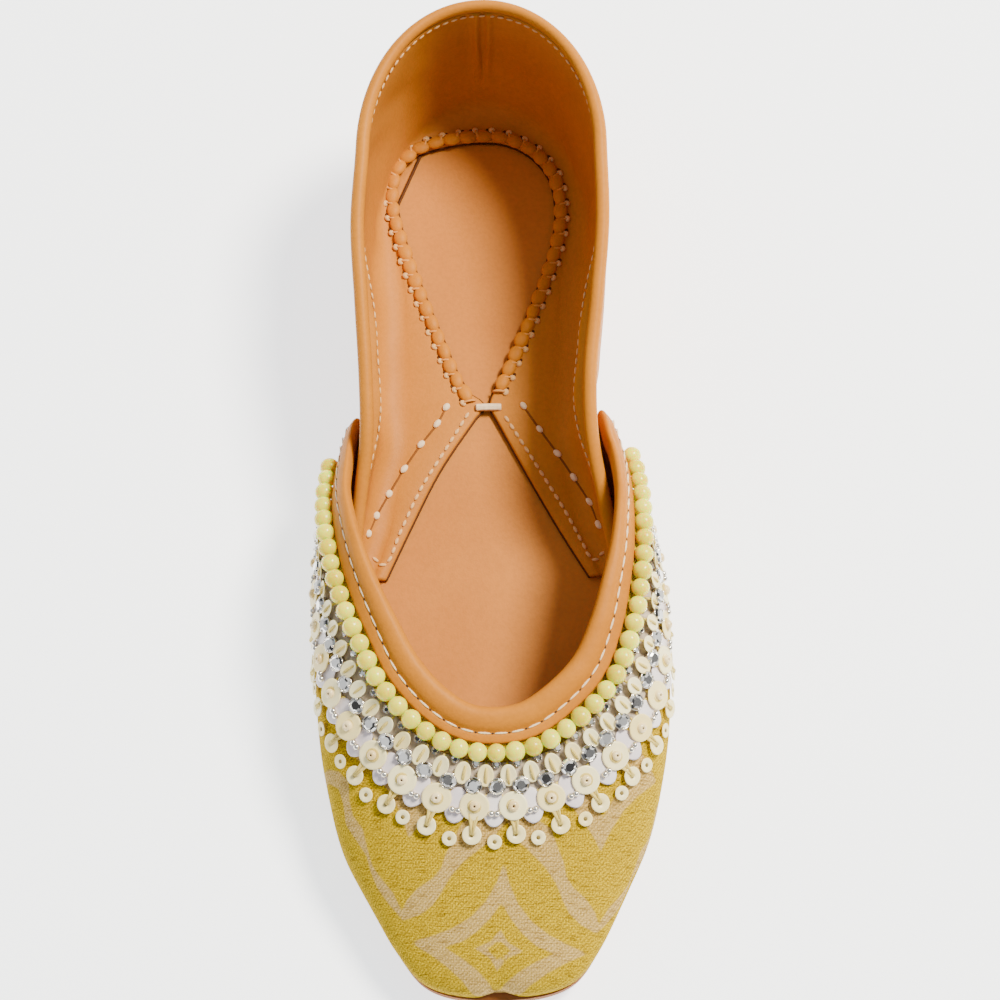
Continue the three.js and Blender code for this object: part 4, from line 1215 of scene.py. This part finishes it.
def beads():
    distance = BINDING_REACH + BEAD_DIAMETER / 2
    lift = BEAD_DIAMETER / 2 + GAP
    ends = (BEADS_FROM, 1 - BEADS_FROM)
    count = round(throat_length(distance, *ends, lift) / BEAD_PITCH)
    t = even(count, distance, *ends, lift=lift)
    spots, axes = placed(t, distance, lift + random.uniform(-0.1, 0.1, count), BEAD_UPRIGHT)
    sizes = BEAD_RADIUS * random.uniform(0.97, 1.06, count)
    sow("lime_beads", ball(24, 16), spots, axes, BEAD, "bead", sizes, (0, 0.8), replaces=["bead_string"])
    line, _ = placed(np.linspace(*ends, 300), distance, lift, BEAD_UPRIGHT)
    make_piece("bead_thread", tube(line, 0.35), YELLOW_THREAD, "thread")


def disc_places():
    ends = (APPLIQUE_FROM, 1 - APPLIQUE_FROM)
    count = round(throat_length(DISC_LINE, *ends) / DISC_PITCH)
    return count, even(count, DISC_LINE, *ends)


def base_net():
    """The net that the sequins are sewn to, and the lilac petals between the large discs."""
    count, t = disc_places()
    along = even(count * 12 + 1, DISC_LINE, APPLIQUE_FROM, 1 - APPLIQUE_FROM, middle=False)
    across = np.linspace(BINDING_REACH + BEAD_DIAMETER, DISC_LINE + 1.5, 14)
    base, normal = on_cloth(along[:, None], across[None])
    shape = loft(np.concatenate([base + normal * 0.6, (base + normal * 0.3)[:, ::-1]], axis=1))
    tint = np.clip(random.normal(0.4, 0.25, len(shape[0])), 0, 1)
    make_piece("base_net", shape, LACE, "sequin", ["applique_band"], {"tint": tint})
    first, last = t[0] - (t[1] - t[0]) / 2, t[-1] + (t[-1] - t[-2]) / 2
    between = np.concatenate([[first], (t[1:] + t[:-1]) / 2, [last]])
    spots, axes = placed(between, DISC_LINE + 0.5, 0.95)
    axes = tilt(spin(axes, -0.12, 0.12), -0.05, 0.05)
    sow("lilac_petals", turned(LILAC, 28, 1.55), spots, axes, PETAL, "sequin", tint=(0, 1))


def large_discs():
    count, t = disc_places()
    spots, axes = placed(t, DISC_LINE, random.uniform(1.2, 1.5, count))
    axes = tilt(spin(axes, -3, 3), -0.1, 0.1)
    sizes = random.uniform(0.98, 1.04, count)
    sow("large_discs", turned(LARGE_DISC, 36), spots, axes, SEQUIN, "sequin", sizes, (0, 0.8))
    spots, axes = placed(t, DISC_LINE, 1.8)
    axes = tilt(spin(axes, -3, 3), -0.12, 0.12)
    sizes = random.uniform(0.92, 1.05, count)
    sow("disc_pearls", turned(DOME, 22), spots, axes, PEARL, "sequin", sizes, (0, 1))
    # A dark disc of painted shade in the hollow on each pearl's top.
    sow("pearl_hole_shades", turned(DOME_HOLE, 10), spots + axes[..., 2] * 0.98, axes, HOLE_SHADE, "sequin")
    sow("pearl_collars", turned(COLLAR, 22), spots, axes, YELLOW_THREAD, "thread")


def small_discs():
    """Small discs hang from the large ones, with tiny ones between them."""
    count, t = disc_places()
    between = (t[1:] + t[:-1]) / 2
    spots, axes = placed(t, SMALL_DISC_LINE + random.uniform(-0.3, 0.5, count), 0.95)
    axes = tilt(spin(axes, -3, 3), -0.15, 0.1)
    sow("small_discs", turned(SMALL_DISC, 26), spots, axes, SEQUIN, "sequin", tint=(0.2, 0.6))
    far = SMALL_DISC_LINE + 1.5 + random.uniform(-0.5, 0.6, count - 1)
    far_spots, far_axes = placed(between, far, 0.7)
    sow("tiny_discs", turned(SMALL_DISC, 22), far_spots, far_axes, SEQUIN, "sequin", 0.76, (0, 0.6))
    # Dark discs of painted shade in the holes of the small and tiny discs.
    eyes = np.vstack([spots + axes[..., 2] * 0.34, far_spots + far_axes[..., 2] * 0.26])
    sow("disc_eye_shades", turned(DISC_EYE, 12), eyes, np.vstack([axes, far_axes]), EYE_SHADE, "sequin")
    threads = []
    for large, frame_axes, foot in zip(*placed(t, DISC_LINE, 0.6), spots + axes[..., 2] * 0.75):
        across, away, up = frame_axes.T
        for sign in (-1, 1):
            start = large + across * sign * 2.7 + away * 2.5
            middle = large + across * sign * 2.6 + away * 5.0 + up * 0.3
            threads.append(tube(bow(start, middle, foot, 9), 0.34, 7))
        for offset in (-0.4, 0.4):
            start = large + away * 3.4 + across * offset
            threads.append(tube(np.linspace(start, foot + across * offset * 0.7, 7), 0.3, 7))
    make_piece("disc_threads", joined(threads), YELLOW_THREAD, "thread")
    spots, axes = placed(between, DISC_LINE + 1.6, 1.9)
    pairs = np.vstack([spots + axes[..., 0] * offset for offset in (-0.72, 0.72)])
    sow("silver_beads", ball(12, 8), pairs, np.vstack([axes, axes]), SILVER, "bead", 0.85)


def petals_and_stones():
    count = round(throat_length(PETAL_LINE, *PETAL_ENDS) / PETAL_PITCH)
    t = even(count, PETAL_LINE, *PETAL_ENDS)
    between = (t[1:] + t[:-1]) / 2
    spots, axes = placed(t, PETAL_LINE, random.uniform(1.6, 1.9, count))
    shape = turned(SEQUIN_PETAL, 24, 1.42)
    sow("petal_sequins", shape, spots, tilt(axes, 0.1, 0.35), SEQUIN, "sequin", tint=(0.2, 0.7))
    threads = []
    over = np.linspace(PETAL_LINE - 2.9, PETAL_LINE + 2.4, 5)
    for place in t:
        askew = random.uniform(-0.001, 0.001)
        line, _ = placed(np.full(5, place + askew), over, [1.4, 2.35, 2.5, 2.3, 1.3])
        threads.append(tube(line, 0.36, 6))
    make_piece("petal_threads", joined(threads), YELLOW_THREAD, "thread")
    claws = []
    for a in math.pi / 4 + math.pi / 2 * np.arange(4):
        points, faces = ball(8, 6)
        claws.append((points * [0.42, 0.42, 0.5] + [1.75 * math.cos(a), 1.75 * math.sin(a), 0.62], faces))
    setting = joined([turned(STONE_CUP, 16)] + claws)
    spots, axes = placed(between, STONE_LINE, 1.7)
    cut_stones("rhinestones", spots, axes, 1.08)
    sow("stone_settings", setting, spots, axes, SILVER, "bead")
    spots, axes = placed(between, SMALL_STONE_LINE, 1.35)
    cut_stones("small_stones", spots, axes, 0.5)
    sow("small_settings", setting, spots, axes, SILVER, "bead", 0.48)


def cut_stones(name, spots, axes, scale):
    """Stones with flat facets, each facet given its own painted reflection, from near black to white."""
    axes = tilt(spin(axes, -1, 1), -0.12, 0.12)
    shape = copies(split_facets(turned(CUT_STONE, 8)), spots, axes, scale)
    # Each facet gets a painted reflection, a random brightness from the list.
    shade = np.concatenate([np.full(len(face), random.choice(FACET_GLINTS)) for face in shape[1]])
    make_piece(name, shape, CRYSTAL_GLINTS, "bead", values={"tint": shade}, smooth=False)


# Seams on the quarter and its flaps

BIG_STITCHES = [
    [(-11.4, 30.7), (-13.9, 26), (-18.3, 20.3), (-22.9, 13.6), (-27, 6.8), (-30.3, 0.6), (-32.4, -4.6)],
    [(9.4, 30.7), (13.6, 24), (18.2, 17.2), (22.4, 10.4), (26.4, 3.2), (28.6, -3.4)],
]
FRONT_STITCHES = [
    [(-5.2, 29.4), (-11.5, 19.2), (-18.4, 8.2), (-24, -3.6), (-28.0, -12.6), (-29.8, -12.4), (-31.4, -10.0)],
    [(4.2, 28.2), (9, 20), (14.6, 10.4), (20.4, 0.2), (25, -9.2), (26.6, -12.2), (28.6, -11.8), (30.0, -9.6)],
]
PUCKER_PITCH = 4.5
RAY_START = 3.5  # height over the flaps from which their skin is looked for
RAY_MISS = 1  # a hit further below them than this is on something else
FRONT_STITCH_PITCH = 2.6
RIM_STITCH_PITCH = 2.5
RIM_STITCH_DEPTH = 0.9
RIM_STITCH_SLANT = 0.15
# Length, width and height of a stitch.
FRONT_STITCH = (2.15, 1.0, 0.7)
RIM_STITCH = (2.0, 0.8, 0.56)
GUSSET_LAP = 0.8  # how far each gusset starts inside the vamp's back edge
GUSSET_WALL = 1.2
OUTSIDE = 80  # a place well outside the quarter
# Radius and lift of the dark tube of painted shadow under the flaps' free edge.
SHADOW_LINE_RADIUS = 0.42
SHADOW_LINE_LIFT = 0.35
BAR_REACH = 3.5  # half the length over which the bar's threads rise and fall


def on_flap(xy, lift):
    """Points on top of the flaps, read from the quarter's skin."""
    z = flap_top(xy[:, 1])
    for k, (x, y) in enumerate(xy):
        hit = quarter_skin.ray_cast(Vector((x, y, z[k] + RAY_START)), Vector((0, 0, -1)))[0]
        if hit is not None and hit.z > z[k] - RAY_MISS:
            z[k] = hit.z
    return np.column_stack([xy, z + lift])


def sizes_between(count, *ranges):
    """A size along each axis for every copy, drawn from a range or, for one number, always the same."""
    drawn = [random.uniform(*r, count) if isinstance(r, tuple) else np.full(count, r) for r in ranges]
    return np.stack(drawn, axis=1)


def braid():
    """The puckered seam: leather puffs, with knots and strands where the thread draws it in, and dark balls
    of painted shade for its holes.
    """
    count = round(run_along(smooth_curve(BRAID, 300))[-1] / PUCKER_PITCH)
    xy = smooth_curve(BRAID, 2 * count + 1)
    axes = level_axes(xy)
    puffs = slice(1, None, 2)
    spots = on_flap(xy, 0.35)[puffs] - axes[puffs][..., 1] * 0.25
    sizes = sizes_between(count, (2.5, 2.8), (1.7, 2.05), (1.0, 1.3))
    sow("braid_puffs", ball(20, 14), spots, spin(axes[puffs], -0.3, 0.05), TAN, "upper_leather", sizes)
    ties = slice(0, None, 2)
    out = axes[ties][..., 1]
    n = len(out)
    base = on_flap(xy, 0.3)[ties] + out * 1.7
    sizes = sizes_between(n, (0.85, 1.05), (0.75, 0.95), 0.6)
    sow("braid_knots", ball(10, 8), base, spin(axes[ties], -0.5, 0.5), KNOT_THREAD, "thread", sizes)
    toward_heel = axes[ties][..., 0] * np.where(np.arange(n) < n / 2, 1.0, -1.0)[:, None]
    # Dark balls of painted shade where the thread goes into its holes.
    holes = base + toward_heel * 1.2 + [0, 0, -0.35] + out * 0.1
    sow("braid_hole_shades", ball(8, 6), holes, axes[ties], PAINTED_SHADOW, "thread", sizes_between(n, 0.6, 0.5, 0.4))
    strands = []
    for k in range(n):
        u = np.linspace(0, 1, 9)
        inner = base[k] - out[k] * 3.3 - toward_heel[k] * random.uniform(0.9, 1.6)
        path = np.linspace(base[k], inner, 9)
        path[:, 2] = base[k][2] + 0.85 * np.sin(np.pi * u) ** 0.7 - 0.3 * u
        strands.append(tube(path, random.uniform(0.28, 0.4), 7))
    make_piece("braid_strands", joined(strands), PALE_LEATHER, "thread")


def flap_seams():
    for number, row in enumerate(BIG_STITCHES, 1):
        xy = np.array(row)
        spots = on_flap(xy, 0.2)
        sizes = sizes_between(len(xy), (1.15, 1.4), (0.75, 0.95), 0.65)
        axes = spin(level_axes(xy), -0.3, 0.3)
        sow(f"tie_stitches_{number}", ball(14, 10), spots, axes, WHITE_THREAD, "thread", sizes)
        # A flattened dark tube of painted shade in the crease that the tie stitches pull into the flap.
        groove = tube(on_flap(smooth_curve(row, 60), 0.0), 0.3, flat=0.5)
        make_piece(f"tie_crease_shades_{number}", groove, CREASE_SHADE, "upper_leather")
    for number, row in enumerate(FRONT_STITCHES, 1):
        count = round(run_along(np.array(row))[-1] / FRONT_STITCH_PITCH)
        xy = smooth_curve(row, 2 * count + 1)[1::2]
        name = f"front_stitches_{number}"
        stitch_row(name, on_flap(xy, 0.12), level_axes(xy), FRONT_STITCH, SEAM_THREAD)


def gussets():
    """The vamp's back edges turned in to the quarter, seen in the gap beside the rim."""
    rows = 24
    for number, (t, sign) in enumerate(((0.0, -1.0), (1.0, 1.0)), 1):
        outer, _ = on_vamp(np.full(rows, t), np.linspace(2.0, rib_length(t) - 1.0, rows))
        inner = outer.copy()
        for k, (x, y, z) in enumerate(outer):
            hit = quarter_skin.ray_cast(Vector((sign * OUTSIDE, y, z)), Vector((-sign, 0, 0)))[0]
            inner[k, 0] = hit.x if hit is not None else x
        outer[:, 0] -= sign * GUSSET_LAP
        deep = np.array([0, -GUSSET_WALL, 0])
        shape = loft(np.stack([outer, inner, inner + deep, outer + deep], axis=1))
        make_piece(f"side_gusset_{number}", shape, LINING, "upper_leather")


def flap_shadow_lines():
    """A thin dark tube of painted shadow under the flaps' free edge, seen as a thin line over the footbed."""
    q = Quarter(np.linspace(-1, 1, 700))
    reach = np.linalg.norm((q.edge - q.seat)[:, :2], axis=1)
    line = at_level(q.edge, flap_bottom(q.edge[:, 1]) + SHADOW_LINE_LIFT)[reach > 6]
    make_piece("flap_shadow_line", tube(line, SHADOW_LINE_RADIUS), PAINTED_SHADOW, "upper_leather")


def rim_stitches():
    def row(turn):
        q = Quarter(turn)
        return q.inner(q.share(q.top - RIM_STITCH_DEPTH - q.facing)), -q.rim_out

    samples = np.linspace(-0.97, 0.97, 900)
    run = run_along(row(samples)[0])
    count = round(run[-1] / RIM_STITCH_PITCH)
    turn = np.interp((np.arange(count) + 0.5) / count * run[-1], run, samples)
    spots, into = row(turn)
    along = unit(row(turn + 0.002)[0] - spots)
    axes = np.stack([along, unit(np.cross(into, along)), into], axis=-1)
    axes = turn_axes(axes, np.full(count, RIM_STITCH_SLANT), 2)
    stitch_row("rim_stitches", spots + into * 0.08, axes, RIM_STITCH, SEAM_THREAD)


def bar_tack():
    """The bar that ties the two flaps: five laid threads, with turns of thread over them."""
    y = y_at(BAR_ALONG)
    z = flap_top(np.array([y]))[0] + 0.75
    strands = []
    for k in range(-2, 3):
        x = np.linspace(-3.4, 3.4, 15)
        lift = 0.35 * np.sqrt(np.maximum(0, 1 - (x / BAR_REACH) ** 2)) - 0.12 * abs(k)
        strands.append(tube(np.column_stack([x, np.full(15, y + k * 0.32), z + lift]), 0.27))
    for x in np.linspace(-3.1, 3.1, 22):
        a = np.linspace(0, math.pi, 9)
        lift = (0.75 + 0.3 * math.sqrt(max(0, 1 - (x / BAR_REACH) ** 2))) * np.sin(a) ** 0.6 - 0.63
        strands.append(tube(np.column_stack([x + 0.1 * np.cos(a), y - 0.85 * np.cos(a), z + lift]), 0.17, 6))
    make_piece("bar_tack", joined(strands), WHITE_THREAD, "thread", ["flap_bar"])


outsole()
insole()
quarter_skin = quarter()
for make in (
    quarter_rim, vamp, binding, binding_stitches, beads, base_net, large_discs, small_discs,
    petals_and_stones, braid, flap_seams, flap_shadow_lines, gussets, rim_stitches, bar_tack,
):
    make()


# Floor, light and camera

LIT_POINT = Vector((0, 0, 0.03))
# The camera looks at VIEW_TARGET from VIEW_DISTANCE away, and the shoe is turned by VIEW_TURN against
# the photograph's own upright.
VIEW_TARGET = np.array([2.6, -0.6, 25.0])
VIEW_DISTANCE = 650.0
VIEW_ELEVATION = math.radians(70)
VIEW_TURN = 0.0195
VIEW_SHIFT = np.array([-0.1, 0, 0])
SENSOR = 36
FRAME_PIXELS = 1000
FOCAL_PIXELS = 2495.2


def floor():
    mesh = bpy.data.meshes.new("floor")
    size = 6.0
    corners = [(-size, -size, 0), (size, -size, 0), (size, size, 0), (-size, size, 0)]
    mesh.from_pydata(corners, [], [(0, 1, 2, 3)])
    ground = bpy.data.objects.new("floor", mesh)
    bpy.context.scene.collection.objects.link(ground)
    glow = {"Emission_Color": (0.93, 0.97, 1), "Emission_Strength": 2.0}
    mesh.materials.append(Look("pale_floor", 0.9, Base_Color=(0.93, 0.93, 0.93), **glow).material)


def area_light(name, place, size, power, color):
    data = bpy.data.lights.new(name, "AREA")
    data.shape = "DISK"
    data.size = size
    data.energy = power
    data.color = color
    light = bpy.data.objects.new(name, data)
    light.location = place
    light.rotation_euler = (LIT_POINT - Vector(place)).to_track_quat("-Z", "Y").to_euler()
    bpy.context.scene.collection.objects.link(light)


def sky():
    world = bpy.data.worlds.new("studio")
    bpy.context.scene.world = world
    world.use_nodes = True
    background = world.node_tree.nodes["Background"]
    background.inputs["Color"].default_value = (0.92, 0.98, 1.08, 1)
    background.inputs["Strength"].default_value = 0.55


def camera():
    c, s = math.cos(VIEW_ELEVATION), math.sin(VIEW_ELEVATION)
    turn = np.array([[1, VIEW_TURN, 0], [-VIEW_TURN, 1, 0], [0, 0, 1]])
    forward, up = turn @ [0, c, -s], turn @ [0, s, c]
    place = turn @ VIEW_TARGET - forward * VIEW_DISTANCE + VIEW_SHIFT + SHIFT
    forward, up = unit(forward), unit(up)
    data = bpy.data.cameras.new("camera")
    data.sensor_width = SENSOR
    data.lens = FOCAL_PIXELS * SENSOR / FRAME_PIXELS
    data.clip_start = 0.05
    data.clip_end = 30
    view = bpy.data.objects.new("camera", data)
    rotation = Matrix((np.cross(forward, up), up, -forward)).transposed()
    view.matrix_world = Matrix.Translation(Vector(place / MM)) @ rotation.to_4x4()
    bpy.context.scene.collection.objects.link(view)
    bpy.context.scene.camera = view


floor()
area_light("key", (0.80, 0.45, 1.45), 0.5, 76, (1.0, 0.95, 0.84))
area_light("fill", (-1.4, 0.7, 1.2), 1.4, 4, (0.85, 0.95, 1.0))
sky()
camera()
